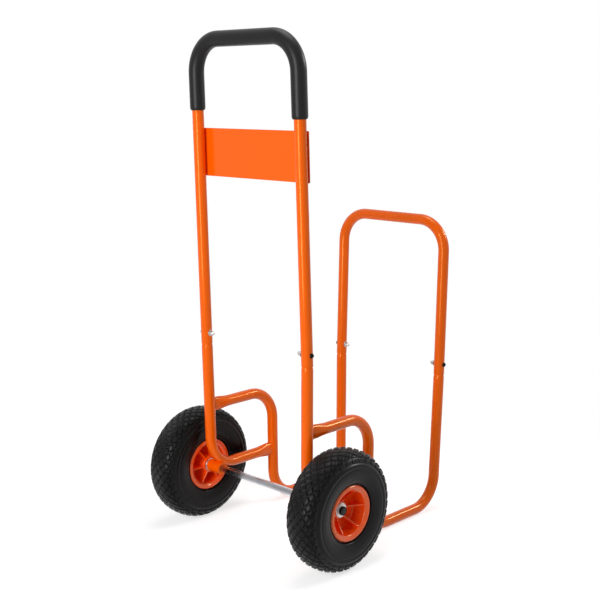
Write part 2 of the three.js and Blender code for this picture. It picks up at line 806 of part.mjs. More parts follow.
/** The one-piece rim: flanges, bead seats, dished web, ribs and hub. */
function rimShape() {
  const lip = 1.5;
  const flangeInner = rimHalfWidth - flangeThickness;
  const barrel = [
    [rimHalfWidth - mouthBevelDepth, dishMouthRadius],
    [rimHalfWidth, dishMouthRadius + mouthBevelWidth],
    [rimHalfWidth, flangeRadius - lip],
    [rimHalfWidth - lip, flangeRadius],
    [flangeInner, flangeRadius],
    [flangeInner, beadSeatRadius],
    [wellHalfWidth + wellShoulder, beadSeatRadius],
    [wellHalfWidth, wellRadius],
  ];
  const mirrored = barrel.map(([x, radius]) => [-x, radius]).reverse();
  const core = turned(
    [
      [hubOuterEnd, hubBoreRadius],
      [hubOuterEnd, hubRadius],
      [webOuterFace, hubRadius + lip],
      [webOuterFace, dishFloorRadius],
      ...barrel,
      ...mirrored,
      [webInnerFace, dishFloorRadius],
      [webInnerFace, hubRadius + lip],
      [hubInnerEnd, hubRadius],
      [hubInnerEnd, hubBoreRadius],
    ],
    rimSegments,
  );
  const ribs = [];
  for (let i = 0; i < ribCount; i += 1) {
    const turn = (2 * Math.PI * i) / ribCount;
    ribs.push(ribShape(hubOuterEnd, webOuterFace).rotateX(turn));
    ribs.push(ribShape(hubInnerEnd, webInnerFace).rotateX(turn));
  }
  const valveHole = bar(valvePoint(valveTipRadius), valvePoint(flangeRadius), valveRadius + seatGap);
  return cut(join(core, ...ribs), valveHole);
}

/** Flanged bush along X, its flange's outer face at the origin and its sleeve towards -X. */
function bushShape() {
  const bore = axleRadius + turningPlay;
  return turned(
    [
      [-bushLength, bore],
      [-bushLength, bushRadius],
      [-bushFlangeThickness, bushRadius],
      [-bushFlangeThickness, bushFlangeRadius],
      [0, bushFlangeRadius],
      [0, bore],
    ],
    axleSides,
  );
}

for (const [side, name] of sideNames) {
  const wheel = new THREE.Group();
  wheel.position.set(side * wheelX, 0, axleHeight);
  wheel.rotation.z = side > 0 ? 0 : Math.PI;
  cart.add(wheel);
  place(wheel, `tyre_${name}`, tyreShape(), blackRubber);

  const core = new THREE.Group();
  core.rotation.x = side * ribTurn;
  wheel.add(core);
  place(core, `inner_tube_${name}`, innerTubeShape(), blackRubber);
  place(core, `rim_${name}`, rimShape(), orangePlastic);

  const outerBush = place(core, `hub_bush_outer_${name}`, bushShape(), zincPlate);
  outerBush.position.x = hubOuterEnd + seatGap + bushFlangeThickness;
  const innerBush = place(core, `hub_bush_inner_${name}`, bushShape(), zincPlate);
  innerBush.rotation.z = Math.PI;
  innerBush.position.x = hubInnerEnd - seatGap - bushFlangeThickness;

  const capFoot = valveTipRadius + valveCapLength - 1;
  const stem = bar(valvePoint(capFoot + seatGap), valvePoint(beadRadius), valveRadius * 0.96);
  const tipRadius = valveRadius - valveCapWall - seatGap;
  const tip = bar(valvePoint(valveTipRadius + 1), valvePoint(capFoot + 1), tipRadius);
  place(core, `valve_stem_${name}`, join(stem, tip), brass);
  const capSolid = bar(valvePoint(valveTipRadius - 1), valvePoint(capFoot), valveRadius);
  const capBore = bar(
    valvePoint(valveTipRadius + 1 - seatGap),
    valvePoint(capFoot + 1),
    valveRadius - valveCapWall,
  );
  place(core, `valve_cap_${name}`, cut(capSolid, capBore), blackPlastic);
}

// ---------------------------------------------------------------- the whole cart

// The rearmost place is the tyres' tread, and the foremost one the loop's top bar.
const rearmost = -wheelRadius;
const foremost = loopPoint(1, loopTop).y + tubeRadius * loopAcross.y;
cart.position.y = -(rearmost + foremost) / 2;

const whole = new THREE.Group();
whole.add(cart);

export default whole;
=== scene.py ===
"""Fireside log cart: the surfaces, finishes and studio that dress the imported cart.

Metres, +Z up, +Y towards the front loop, +X to the cart's right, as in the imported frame. The fixed
layout counts Y from the axle.
"""

import math

import bmesh
import bpy
import numpy as np
from bpy.props import FloatProperty, FloatVectorProperty, IntProperty, PointerProperty
from bpy.types import Operator, Panel, PropertyGroup
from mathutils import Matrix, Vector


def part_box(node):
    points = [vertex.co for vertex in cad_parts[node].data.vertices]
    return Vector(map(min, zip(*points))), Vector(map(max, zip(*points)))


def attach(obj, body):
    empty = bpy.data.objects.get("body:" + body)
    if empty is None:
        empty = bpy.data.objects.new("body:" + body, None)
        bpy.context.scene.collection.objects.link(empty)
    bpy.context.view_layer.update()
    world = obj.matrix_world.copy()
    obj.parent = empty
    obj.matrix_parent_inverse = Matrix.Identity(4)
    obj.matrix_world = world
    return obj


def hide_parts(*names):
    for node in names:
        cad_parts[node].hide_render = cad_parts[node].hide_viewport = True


bl_info = {
    "name": "Fireside Log Cart",
    "version": (1, 0, 0),
    "blender": (4, 5, 0),
    "location": "View3D > Sidebar > Log Cart",
    "description": "Dresses a packed log cart with smooth tubes, foam, tyres, rims and finishes",
    "category": "Object",
}

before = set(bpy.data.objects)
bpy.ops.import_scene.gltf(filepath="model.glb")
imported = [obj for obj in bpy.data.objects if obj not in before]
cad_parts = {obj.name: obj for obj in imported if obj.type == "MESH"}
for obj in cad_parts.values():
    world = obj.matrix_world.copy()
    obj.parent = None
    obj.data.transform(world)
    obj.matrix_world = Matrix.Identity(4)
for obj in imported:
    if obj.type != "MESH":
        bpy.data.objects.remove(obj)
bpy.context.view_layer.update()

# ---- places taken from the frame

AXLE = np.mean(np.array(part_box("axle")), axis=0)
WHEEL_X = np.array(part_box("tyre_right"))[:, 0].mean()
WHEEL_RADIUS = AXLE[2]
HANDLE_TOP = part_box("foam_grip")[1][2]
SIDES = (("left", -1), ("right", 1))

# ---- fixed layout, in metres

# Side frames, each in a plane that opens upwards
SIDE_HALF_WIDTH = 0.1504  # at the axle
REAR_JOINT_X = 0.1555
REAR_JOINT_Y = -0.0272
REAR_JOINT_Z = 0.428
REAR_FOOT_Y = -0.0222  # where the rear tube's upright and strut would meet
REAR_BEND_RADIUS = 0.075
REAR_BEND_SQUASH = 0.005
STRUT_Z = AXLE[2] + 0.007
SIDE_TOP_Z = 0.2835
LEG_Y = 0.172
RUNNER_Z = 0.0125
FRONT_FOOT_Y = 0.4157  # where the runner and the front upright would meet
FRONT_JOINT_Y = 0.4216
FRONT_JOINT_Z = 0.328
SIDE_SLOPE = (REAR_JOINT_X - SIDE_HALF_WIDTH) / (REAR_JOINT_Z - AXLE[2])

# Front loop, handle and plate
LOOP_TOP_Z = 0.6877
LOOP_LEAN = 0.0246  # forwards, as a slope
HANDLE_HALF_WIDTH = 0.151  # at the top
HANDLE_LEAN = 0.0354  # backwards, as a slope
GRIP_RADIUS = 0.0165
PLATE_BOTTOM_Z = 0.8015
PLATE_TOP_Z = 0.9040
PLATE_OVERHANG = 0.0095  # beyond the uprights' centrelines

# Joints, pressed ends and clearances
NECK_LENGTH = 0.055
NECK_RADIUS = 0.0106
SHOULDER_LENGTH = 0.005
NECK_KINK_RADIUS = 0.02  # small bend where a neck follows the tube that it fits into
BOLT_RISE = 0.025
PRESSED_LENGTH = 0.006
PRESSED_BLEND = 0.038
SADDLE_REACH = 0.03
SEAT_GAP = 0.0003

# Axle and wheels
AXLE_RADIUS = 0.008
SEAT_BORE = AXLE_RADIUS + SEAT_GAP
RIM_FACE = 0.0366
HUB_FACE = 0.0065  # on the rim's outer side
RIB_TURN = math.radians(7.0)

# Fineness of the surfaces
TUBE_STEP = 0.004
ARCH_STEP = 0.01
TUBE_SIDES = 48
GRIP_SIDES = 64


def length_property(name, description, default):
    """A length with the same unit and precision for every size."""
    return FloatProperty(name=name, description=description, default=default, unit="LENGTH", precision=4)


class CartSizes(PropertyGroup):
    """Sizes of the cart's pieces that a maker would change."""

    tube_radius: length_property("Tube Radius", "Outer radius of the frame tube", 0.0125)
    tube_wall: length_property("Tube Wall", "Wall thickness of the frame tube", 0.0015)
    bend_radius: length_property("Bend Radius", "Centreline radius of the tube bends", 0.070)
    grip_radius: length_property("Grip Radius", "Outer radius of the foam grip", GRIP_RADIUS)
    grip_drop_left: length_property("Grip Drop Left", "Foam's left end below the top bar", 0.146)
    grip_drop_right: length_property("Grip Drop Right", "Foam's right end below the top bar", 0.1605)
    pressed_half_height: length_property("Pressed Half Height", "Half height of a pressed tube end", 0.016)
    pressed_half_width: length_property("Pressed Half Width", "Half width of a pressed tube end", 0.0084)
    bead_radius: length_property("Weld Radius", "Radius of the weld beads", 0.0017)
    plate_thickness: length_property("Plate Thickness", "Thickness of the handle's plate", 0.002)
    tread_pitches: IntProperty(
        name="Tread Pitches", description="Number of tread blocks round the tyre", default=36, min=12
    )
    tread_row_height: length_property("Tread Row Height", "Spacing of the rows of blocks", 0.0091)
    tread_depth: length_property("Tread Depth", "Depth of the grooves between the blocks", 0.0029)
    rib_thickness: length_property("Rib Thickness", "Thickness of a rim rib", 0.0034)
    rib_count: IntProperty(name="Rib Count", description="Ribs on each side of a rim", default=6, min=3)


def colour_property(name, description, default):
    """A colour with the same wording for every finish."""
    return FloatVectorProperty(
        name=name, description=description, default=default, size=3, min=0.0, max=1.0, subtype="COLOR"
    )


class CartColours(PropertyGroup):
    """Colours of the finishes, as linear values."""

    paint: colour_property("Paint", "Glossy paint on the tubes and the plate", (0.975, 0.118, 0.0004))
    plastic: colour_property("Rim Plastic", "Moulded plastic of the rims", (1.0, 0.082, 0.003))
    foam: colour_property("Foam", "Foam of the grip", (0.0045, 0.0045, 0.005))
    tyre: colour_property("Tyre", "Rubber of the tyres", (0.0040, 0.0036, 0.0038))
    steel: colour_property("Bare Steel", "Drawn steel of the axle", (0.36, 0.36, 0.38))
    zinc: colour_property("Zinc", "Zinc plate of nuts, washers and bushes", (0.62, 0.62, 0.60))
    black: colour_property("Black", "Black caps and screws", (0.004, 0.004, 0.004))
    brass: colour_property("Brass", "Brass of the valve stems", (0.43, 0.26, 0.07))
    ground: colour_property("Floor", "Studio floor", (0.66, 0.66, 0.66))


# ---- points of the frame


def cart(x, y, z):
    """A point whose Y is counted from the axle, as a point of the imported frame."""
    return np.array([x, y + AXLE[1], z])


def side_x(z):
    """Half width of the side frames at a height: a straight line that opens upwards."""
    return SIDE_HALF_WIDTH + SIDE_SLOPE * (z - AXLE[2])


def side_point(side, y, z):
    """A point in the plane of a side frame."""
    return cart(side * side_x(z), y, z)


def handle_point(side, z):
    """A point on the axis of a handle upright: it leans back and closes upwards in a straight line."""
    rise = z - REAR_JOINT_Z
    taper = (REAR_JOINT_X - HANDLE_HALF_WIDTH) / (HANDLE_TOP - GRIP_RADIUS - REAR_JOINT_Z)
    return cart(side * (REAR_JOINT_X - taper * rise), REAR_JOINT_Y - HANDLE_LEAN * rise, z)


def loop_point(side, z):
    """A point on the axis of a front loop upright: it leans forwards in a straight line."""
    return cart(side * side_x(FRONT_JOINT_Z), FRONT_JOINT_Y + LOOP_LEAN * (z - FRONT_JOINT_Z), z)


def rear_y(z):
    """Y of the rear tube's upright, a straight line from its joint to its foot."""
    return REAR_JOINT_Y + (REAR_FOOT_Y - REAR_JOINT_Y) * (REAR_JOINT_Z - z) / (REAR_JOINT_Z - STRUT_Z)


def wheel_centre(side):
    """Middle of a wheel."""
    return np.array([side * WHEEL_X, AXLE[1], AXLE[2]])


def unit(vectors):
    """Vectors divided by their lengths."""
    vectors = np.asarray(vectors, float)
    return vectors / np.linalg.norm(vectors, axis=-1, keepdims=True)


def side_across(side):
    """Square to the plane of a side frame."""
    return unit([1.0, 0.0, -side * SIDE_SLOPE])


def ease(values):
    """Smooth step: 3t squared minus 2t cubed, with t held between 0 and 1."""
    t = np.clip(values, 0.0, 1.0)
    return t * t * (3.0 - 2.0 * t)


def step_between(value, start, end):
    """Nought below the start and one above the end, with a smooth step between."""
    return ease((value - start) / (end - start))


def full_turn(count):
    """Even angles round a circle."""
    return np.linspace(0.0, 2.0 * np.pi, count, endpoint=False)


# ---- meshes


def surface(points, close_rows=False):
    """Vertices and quads of rings of points, the last ring joined to the first if the rows close."""
    rows, columns = points.shape[:2]
    i = np.arange(rows if close_rows else rows - 1)
    i, j = np.meshgrid(i, np.arange(columns), indexing="ij")
    below, beside = (i + 1) % rows, (j + 1) % columns
    corners = [i * columns + j, i * columns + beside, below * columns + beside, below * columns + j]
    return points.reshape(-1, 3), np.stack(corners, -1).reshape(-1, 4)


def piece(name, shells, material, sharp_degrees=35.0):
    """One object from closed shells of vertices and quads, its poles merged and its faces turned outwards."""
    counts = np.cumsum([0] + [len(vertices) for vertices, _ in shells])
    vertices = np.concatenate([vertices for vertices, _ in shells])
    quads = np.concatenate([faces + start for (_, faces), start in zip(shells, counts)])
    mesh = bpy.data.meshes.new(name)
    mesh.from_pydata(vertices.tolist(), [], quads.tolist())
    work = bmesh.new()
    work.from_mesh(mesh)
    bmesh.ops.remove_doubles(work, verts=work.verts, dist=1e-7)
    bmesh.ops.recalc_face_normals(work, faces=work.faces)
    work.to_mesh(mesh)
    work.free()
    mesh.shade_smooth()
    mesh.set_sharp_from_angle(angle=math.radians(sharp_degrees))
    mesh.materials.append(material)
    made = bpy.data.objects.new(name, mesh)
    bpy.context.scene.collection.objects.link(made)
    return made


def dress(name, shells, body, slot, *nodes, sharp=40.0):
    """A piece in its slot's finish that rides on a body and stands for its CAD nodes."""
    made = piece(name, shells, material_of(slot), sharp)
    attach(made, body)
    if nodes:
        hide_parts(*nodes)
    return made


def refinish(node_name, slot):
    """A carried-over CAD node gets its slot's finish."""
    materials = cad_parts[node_name].data.materials
    materials.clear()
    materials.append(material_of(slot))


# ---- bent tubes


def bent_path(corners, radii, step):
    """Straight runs through the corners with a circular arc inside each inner corner.

    On an arc, a place is the arc's start plus radius times sine along the old heading and radius times
    one minus cosine towards the inside. Returns places, headings and distances from the start.
    """
    corners = np.asarray(corners, float)
    headings = unit(np.diff(corners, axis=0))
    places, directions = [], []
    start = corners[0]
    for i, radius in enumerate(list(radii) + [None]):
        before = headings[i]
        if radius is None:
            end = corners[-1]
        else:
            after = headings[i + 1]
            turn = math.acos(np.clip(before @ after, -1.0, 1.0))
            end = corners[i + 1] - before * radius * math.tan(turn / 2)
        count = max(2, int(np.linalg.norm(end - start) / step))
        share = np.linspace(0.0, 1.0, count, endpoint=radius is None)[:, None]
        places.append(start + (end - start) * share)
        directions.append(np.repeat(before[None], count, 0))
        if radius is not None:
            inward = unit(after - before * math.cos(turn))
            count = max(3, int(math.degrees(turn) / 4) + 1)
            angles = np.linspace(0.0, turn, count, endpoint=False)[:, None]
            places.append(end + radius * (np.sin(angles) * before + (1.0 - np.cos(angles)) * inward))
            directions.append(np.cos(angles) * before + np.sin(angles) * inward)
            start = corners[i + 1] + after * radius * math.tan(turn / 2)
    places, directions = np.concatenate(places), unit(np.concatenate(directions))
    distances = np.concatenate([[0.0], np.cumsum(np.linalg.norm(np.diff(places, axis=0), axis=1))])
    return places, directions, distances


def section_axes(headings, across):
    """The two axes of each section: the across direction made square to the heading, and their product."""
    side = unit(across - (headings @ across)[:, None] * headings)
    return side, np.cross(side, headings)


def saddle_shift(points, places, side, distances, radius):
    """How far each point of an end slides onto a round tube that it meets, fading out over a reach.

    A point at offset a across the other tube slides by the tube's radius minus the root of radius
    squared less a squared.
    """
    offset = np.einsum("rsk,rk->rs", points - places[:, None], side)
    depth = radius - np.sqrt(np.maximum(radius**2 - offset**2, 0.0))
    return depth * (1.0 - ease(distances / SADDLE_REACH))[:, None]


def tube_rings(path, across, half_across, half_in_plane, sides, shift=0.0, saddle=None):
    """Rings of an oval section carried along a path; a saddle is the end and the radius that it fits onto.

    A ring's point is the place plus half_across times cosine along one section axis and half_in_plane
    times sine, plus the shift, along the other.
    """
    places, headings, distances = path
    side, normal = section_axes(headings, np.asarray(across, float))
    angle = full_turn(sides)
    ones = np.ones(len(places))
    wide = (ones * half_across)[:, None, None] * np.cos(angle)[None, :, None] * side[:, None]
    tall = (ones * half_in_plane)[:, None] * np.sin(angle) + (ones * shift)[:, None]
    points = places[:, None] + wide + tall[..., None] * normal[:, None]
    if saddle:
        end, radius = saddle
        along = distances if end == "start" else distances[-1] - distances
        slide = saddle_shift(points, places, side, along, radius)
        points += slide[..., None] * headings[:, None] * (-1.0 if end == "start" else 1.0)
    return points


def pipe(path, across, half_across, half_in_plane, wall, shift=0.0, saddle=None):
    """A tube with open ends: its outer rings, then its inner rings back to the start, closed both ways."""
    outer = tube_rings(path, across, half_across, half_in_plane, TUBE_SIDES, shift, saddle)
    inner = tube_rings(path, across, half_across - wall, half_in_plane - wall, TUBE_SIDES, shift, saddle)
    return surface(np.concatenate([outer, inner[::-1]]), close_rows=True), outer


def weld_bead(ring, centre, heading, radius):
    """A rippled bead round an end ring: a small circle swept round it, its radius rising and falling.

    The radius is the bead's own times one plus two sine waves, of thirteen and twenty-nine ripples.
    """
    outward = unit(ring - centre)
    turn = full_turn(len(ring))
    ripple = radius * (1.0 + 0.10 * np.sin(13.0 * turn) + 0.05 * np.sin(29.0 * turn + 1.0))
    angle = full_turn(10)
    around = np.cos(angle)[None, :, None] * outward[:, None] + np.sin(angle)[None, :, None] * heading
    return surface(ring[:, None] + ripple[:, None, None] * around, close_rows=True)


def swaged(distances, tube_radius):
    """Radius by the distance from a swaged tip: the neck's, then a straight shoulder to the tube's."""
    share = np.clip((distances - NECK_LENGTH) / SHOULDER_LENGTH, 0.0, 1.0)
    return NECK_RADIUS + (tube_radius - NECK_RADIUS) * share


def pressed(distances, sizes):
    """Half widths by the distance from a weld: pressed flat at first, then eased back to round."""
    share = ease((distances - PRESSED_LENGTH) / PRESSED_BLEND)
    across = sizes.pressed_half_width + (sizes.tube_radius - sizes.pressed_half_width) * share
    in_plane = sizes.pressed_half_height + (sizes.tube_radius - sizes.pressed_half_height) * share
    return across, in_plane


def rear_tube(side, sizes):
    """A rear tube and its weld bead, from the swaged tip to the pressed end on the leg.

    On the bend the section moves outwards by a squash, loses it in height and gains half of it in
    width; the squash is a smooth step of the sine of the share of the bend.
    """
    tube = sizes.tube_radius
    joint = handle_point(side, REAR_JOINT_Z)
    tip = joint + unit(handle_point(side, HANDLE_TOP) - joint) * NECK_LENGTH
    corner = side_point(side, REAR_FOOT_Y, STRUT_Z)
    weld = side_point(side, LEG_Y - tube, STRUT_Z)
    path = bent_path([tip, joint, corner, weld], [NECK_KINK_RADIUS, REAR_BEND_RADIUS], TUBE_STEP)
    places, headings, distances = path
    turn = math.acos(unit(corner - joint) @ unit(weld - corner))
    bend_end = distances[-1] - np.linalg.norm(weld - corner) + REAR_BEND_RADIUS * math.tan(turn / 2)
    share = np.clip((distances - bend_end) / (REAR_BEND_RADIUS * turn) + 1.0, 0.0, 1.0)
    squash = REAR_BEND_SQUASH / 2 * ease(np.sin(np.pi * share))
    across, in_plane = pressed(distances[-1] - distances, sizes)
    neck = swaged(distances, tube)
    wide, tall = np.minimum(neck, across) + squash / 2, neck + in_plane - tube - squash
    shell, outer = pipe(path, side_across(side), wide, tall, sizes.tube_wall, -squash, ("end", tube))
    return shell, weld_bead(outer[-1], places[-1], headings[-1], sizes.bead_radius)


def side_tube(side, sizes):
    """A side tube and its weld bead, from the pressed end on the rear tube to the swaged tip in the loop."""
    tube, bend = sizes.tube_radius, sizes.bend_radius
    joint = side_point(side, FRONT_JOINT_Y, FRONT_JOINT_Z)
    corners = [
        side_point(side, rear_y(SIDE_TOP_Z) + tube, SIDE_TOP_Z),
        side_point(side, LEG_Y, SIDE_TOP_Z),
        side_point(side, LEG_Y, RUNNER_Z),
        side_point(side, FRONT_FOOT_Y, RUNNER_Z),
        joint,
        joint + unit(loop_point(side, LOOP_TOP_Z) - joint) * NECK_LENGTH,
    ]
    path = bent_path(corners, [bend, bend, bend, NECK_KINK_RADIUS], TUBE_STEP)
    places, headings, distances = path
    across, in_plane = pressed(distances, sizes)
    neck = swaged(distances[-1] - distances, tube)
    wide, tall = np.minimum(neck, across), neck + in_plane - tube
    shell, outer = pipe(path, side_across(side), wide, tall, sizes.tube_wall, saddle=("start", tube))
    return shell, weld_bead(outer[0], places[0], headings[0], sizes.bead_radius)


def arch(point_of, foot, top, radius):
    """Path of an upside-down U through two feet and two top corners."""
    corners = [point_of(-1, foot), point_of(-1, top), point_of(1, top), point_of(1, foot)]
    return bent_path(corners, [radius, radius], ARCH_STEP)


def grip_sleeve(sizes):
    """The foam sleeve along the handle's bar, bends and uprights, its ends rounded by a quarter circle.

    Within the edge of an end the radius falls by the edge minus the root of edge squared less the
    missing distance squared.
    """
    top = HANDLE_TOP - sizes.grip_radius
    corners = [
        handle_point(-1, top - sizes.grip_drop_left),
        handle_point(-1, top),
        handle_point(1, top),
        handle_point(1, top - sizes.grip_drop_right),
    ]
    path = bent_path(corners, [sizes.bend_radius, sizes.bend_radius], TUBE_STEP)
    distances = path[2]
    edge = 0.0018
    missing = np.maximum(edge - np.minimum(distances, distances[-1] - distances), 0.0)
    radius = sizes.grip_radius - (edge - np.sqrt(np.maximum(edge**2 - missing**2, 0.0)))
    bore = sizes.tube_radius + SEAT_GAP / 3
    across = (0.0, 1.0, HANDLE_LEAN)
    outer = tube_rings(path, across, radius, radius, GRIP_SIDES)
    inner = tube_rings(path, across, bore, bore, GRIP_SIDES)
    return surface(np.concatenate([outer, inner[::-1]]), close_rows=True)


def plate_sheet(sizes):
    """The handle's plate: a rounded rectangle carried through the sheet's thickness.

    A ring's point is the half size less the corner's radius, by the quarter that it lies in, plus the
    corner's radius times cosine across and sine upwards. The first and last rings shrink to the middle,
    and the next ones by the softened edge.
    """
    middle = (PLATE_BOTTOM_Z + PLATE_TOP_Z) / 2
    centre = handle_point(1, middle)
    half_width, half_height = centre[0] + PLATE_OVERHANG, (PLATE_TOP_Z - PLATE_BOTTOM_Z) / 2
    lean = math.atan(HANDLE_LEAN)
    up = np.array([0.0, -math.sin(lean), math.cos(lean)])
    out = np.array([0.0, math.cos(lean), math.sin(lean)])
    face = np.array([0.0, centre[1], middle]) + out * (sizes.tube_radius + SEAT_GAP)
    corner, edge, thickness = 0.0025, 0.0004, sizes.plate_thickness
    turn = full_turn(64)
    wide = np.where(np.cos(turn) >= 0, 1.0, -1.0) * (half_width - corner) + corner * np.cos(turn)
    tall = np.where(np.sin(turn) >= 0, 1.0, -1.0) * (half_height - corner) + corner * np.sin(turn)
    rings = [
        [0.0, 0.0, 0.0],
        [1.0 - edge / half_width, 1.0 - edge / half_height, 0.0],
        [1.0, 1.0, edge],
        [1.0, 1.0, thickness - edge],
        [1.0 - edge / half_width, 1.0 - edge / half_height, thickness],
        [0.0, 0.0, thickness],
    ]
    wide_share, tall_share, depth = np.array(rings).T[..., None, None]
    across = wide_share * wide[:, None] * np.array([1.0, 0.0, 0.0])
    return surface(face + across + tall_share * tall[:, None] * up + depth * out)


# ---- turned pieces


def rounded(corners, radius, steps=4):
    """A polyline whose inner corners become arcs: each is a quadratic curve between the two cut points."""
    corners = np.asarray(corners, float)
    before, here, after = corners[:-2], corners[1:-1], corners[2:]
    back, ahead = before - here, after - here
    reach_back = np.minimum(radius, np.linalg.norm(back, axis=1) * 0.49)[:, None]
    reach_ahead = np.minimum(radius, np.linalg.norm(ahead, axis=1) * 0.49)[:, None]
    start, end = here + unit(back) * reach_back, here + unit(ahead) * reach_ahead
    t = np.linspace(0.0, 1.0, steps)[None, :, None]
    curve = start[:, None] * (1 - t) ** 2 + 2 * here[:, None] * t * (1 - t) + end[:, None] * t**2
    return np.concatenate([corners[:1], curve.reshape(-1, 2), corners[-1:]])


def closed_profile(corners, radius, steps=4):
    """A rounded profile that closes on itself: the loop is rounded all the way round from a straight side."""
    corners = np.asarray(corners, float)
    middle = (corners[0] + corners[-1]) / 2
    return rounded(np.concatenate([[middle], corners, [middle]]), radius, steps)[:-1]


def polar(x, radius, centre, side):
    """Points at positions along X with a radius for each row and angle: its cosine and sine are Y and Z."""
    angle = full_turn(radius.shape[1])
    along = np.repeat(side * np.asarray(x)[:, None], radius.shape[1], 1)
    return np.stack([along, radius * np.cos(angle), radius * np.sin(angle)], -1) + centre


def turned(profile, centre, side, segments, close_rows=False):
    """A profile of (x, radius) turned about the X axis through a centre; x runs outwards on each side."""
    radius = np.repeat(profile[:, 1:], segments, 1)
    return surface(polar(profile[:, 0], radius, centre, side), close_rows)


def flat_ring(span, bore, radius, edge, centre, side, segments):
    """A ring between two places along X and two radii, with rounded edges."""
    start, end = span
    corners = [[start, bore], [start, radius], [end, radius], [end, bore]]
    return turned(closed_profile(corners, edge), centre, side, segments, close_rows=True)


def hexagon(angle, half_flat):
    """A hexagon's radius at an angle: half across the flats over the cosine from the side's middle."""
    return half_flat / np.cos((angle + np.pi / 6) % (np.pi / 3) - np.pi / 6)


def axle_span(node_name):
    """Where a piece on the axle starts and ends, as distances from the cart's middle."""
    return sorted(abs(np.array(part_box(node_name))[:, 0]))


def axle_cap(span, side):
    """A push-on cap turned from its profile: a bore, a slightly tapered wall and a domed end."""
    foot_radius, taper_radius, dome_radius, edge = 0.0098, 0.0093, 0.006, 0.0009
    start, end = span
    bore_end, taper_end = end - 0.002, end - 0.0012
    corners = [
        [bore_end, 0.0],
        [bore_end, SEAT_BORE],
        [start, SEAT_BORE],
        [start, foot_radius],
        [taper_end, taper_radius],
        [end, dome_radius],
        [end, 0.0],
    ]
    return turned(rounded(corners, edge, 5), AXLE, side, 48)


def button_screw(face, centre, side):
    """A button-head screw with a hexagon socket, its head on the face and its shank inwards.

    The head's radius and height are its own times the cosine and the sine of an angle that rises to
    0.82 of a right angle; the socket is a hexagon that sinks into it and closes to a point.
    """
    shank_length, shank_radius = 0.024, 0.003
    foot_radius, head_radius, skirt, dome_height = 0.0049, 0.0053, 0.0006, 0.0042
    half_flat, mouth_radius, mouth_rise, socket_depth, tip_depth = 0.0020, 0.0024, 0.0001, 0.002, 0.0024
    angle = full_turn(48)
    dome = np.linspace(0.0, np.pi / 2 * 0.82, 7)[1:]
    x = [-shank_length, -shank_length, 0.0, 0.0, skirt, *(skirt + dome_height * np.sin(dome))]
    x += [x[-1] + mouth_rise, x[-1] - socket_depth, x[-1] - tip_depth]
    radius = [0.0, shank_radius, shank_radius, foot_radius, head_radius, *(head_radius * np.cos(dome[:-1]))]
    socket = hexagon(angle, half_flat)
    rows = [value * np.ones_like(angle) for value in (*radius, mouth_radius)]
    rows += [socket, socket * 0.97, socket * 0.0]
    return surface(polar(face + np.array(x), np.array(rows), centre, side))


def acorn_nut(seat, centre, side):
    """An acorn nut with its foot at the seat: a hexagon with chamfered ends and a quarter-circle dome.

    The hexagon's radius is held below the chamfer's at both ends. The dome's radius is its own times the
    cosine, and its height the sine, of an angle that rises to a right angle.
    """
    half_flat, chamfer, hex_height, dome_radius, dome_height = 0.00505, 0.0056, 0.0050, 0.0047, 0.0066
    angle = full_turn(48)
    flat = hexagon(angle, half_flat)
    hex_x = [0.0, 0.0002, 0.0006, 0.0042, 0.0047, hex_height]
    hex_rows = [np.minimum(flat, chamfer - 0.0006), np.minimum(flat, chamfer), flat, flat]
    hex_rows += [np.minimum(flat, chamfer), np.minimum(flat, chamfer - 0.0005)]
    dome = np.linspace(0.0, np.pi / 2, 9)
    dome_rows = dome_radius * np.cos(dome)[:, None] * np.ones_like(angle)
    rows = np.concatenate([[0.0 * angle], hex_rows, dome_rows])
    x = np.concatenate([[0.0], hex_x, hex_height + dome_height * np.sin(dome)])
    return surface(polar(seat - x, rows, centre, side))


# ---- wheels


def tyre_outline():
    """The tyre's outside from the crown's middle to its bead, as x, radius and the distance along it.

    Above the widest place x and radius are powers of cosine and sine, as on a rounded square. The
    sidewall falls in on the same power of the share fallen, then turns in behind the rim's flange and
    leaves a gap beside it.
    """
    half_width, widest, roundness, reach, wall_foot = 0.0425, 0.094, 2.4, 0.0486, 0.0640
    foot_x = [0.0346, 0.0315, 0.0323, 0.0323]
    foot_radius = [0.0629, 0.0624, 0.0596, 0.0514]
    angle = np.linspace(np.pi / 2, 0.0, 200)
    crown_x = half_width * np.abs(np.cos(angle)) ** (2 / roundness)
    crown_radius = widest + (WHEEL_RADIUS - widest) * np.abs(np.sin(angle)) ** (2 / roundness)
    fall = np.linspace(0.0, widest - wall_foot, 80)[1:]
    wall_x = half_width * (1.0 - (fall / reach) ** roundness) ** (1 / roundness)
    x = np.concatenate([crown_x, wall_x, foot_x])
    radius = np.concatenate([crown_radius, widest - fall, foot_radius])
    return x, radius, np.concatenate([[0.0], np.cumsum(np.hypot(np.diff(x), np.diff(radius)))])


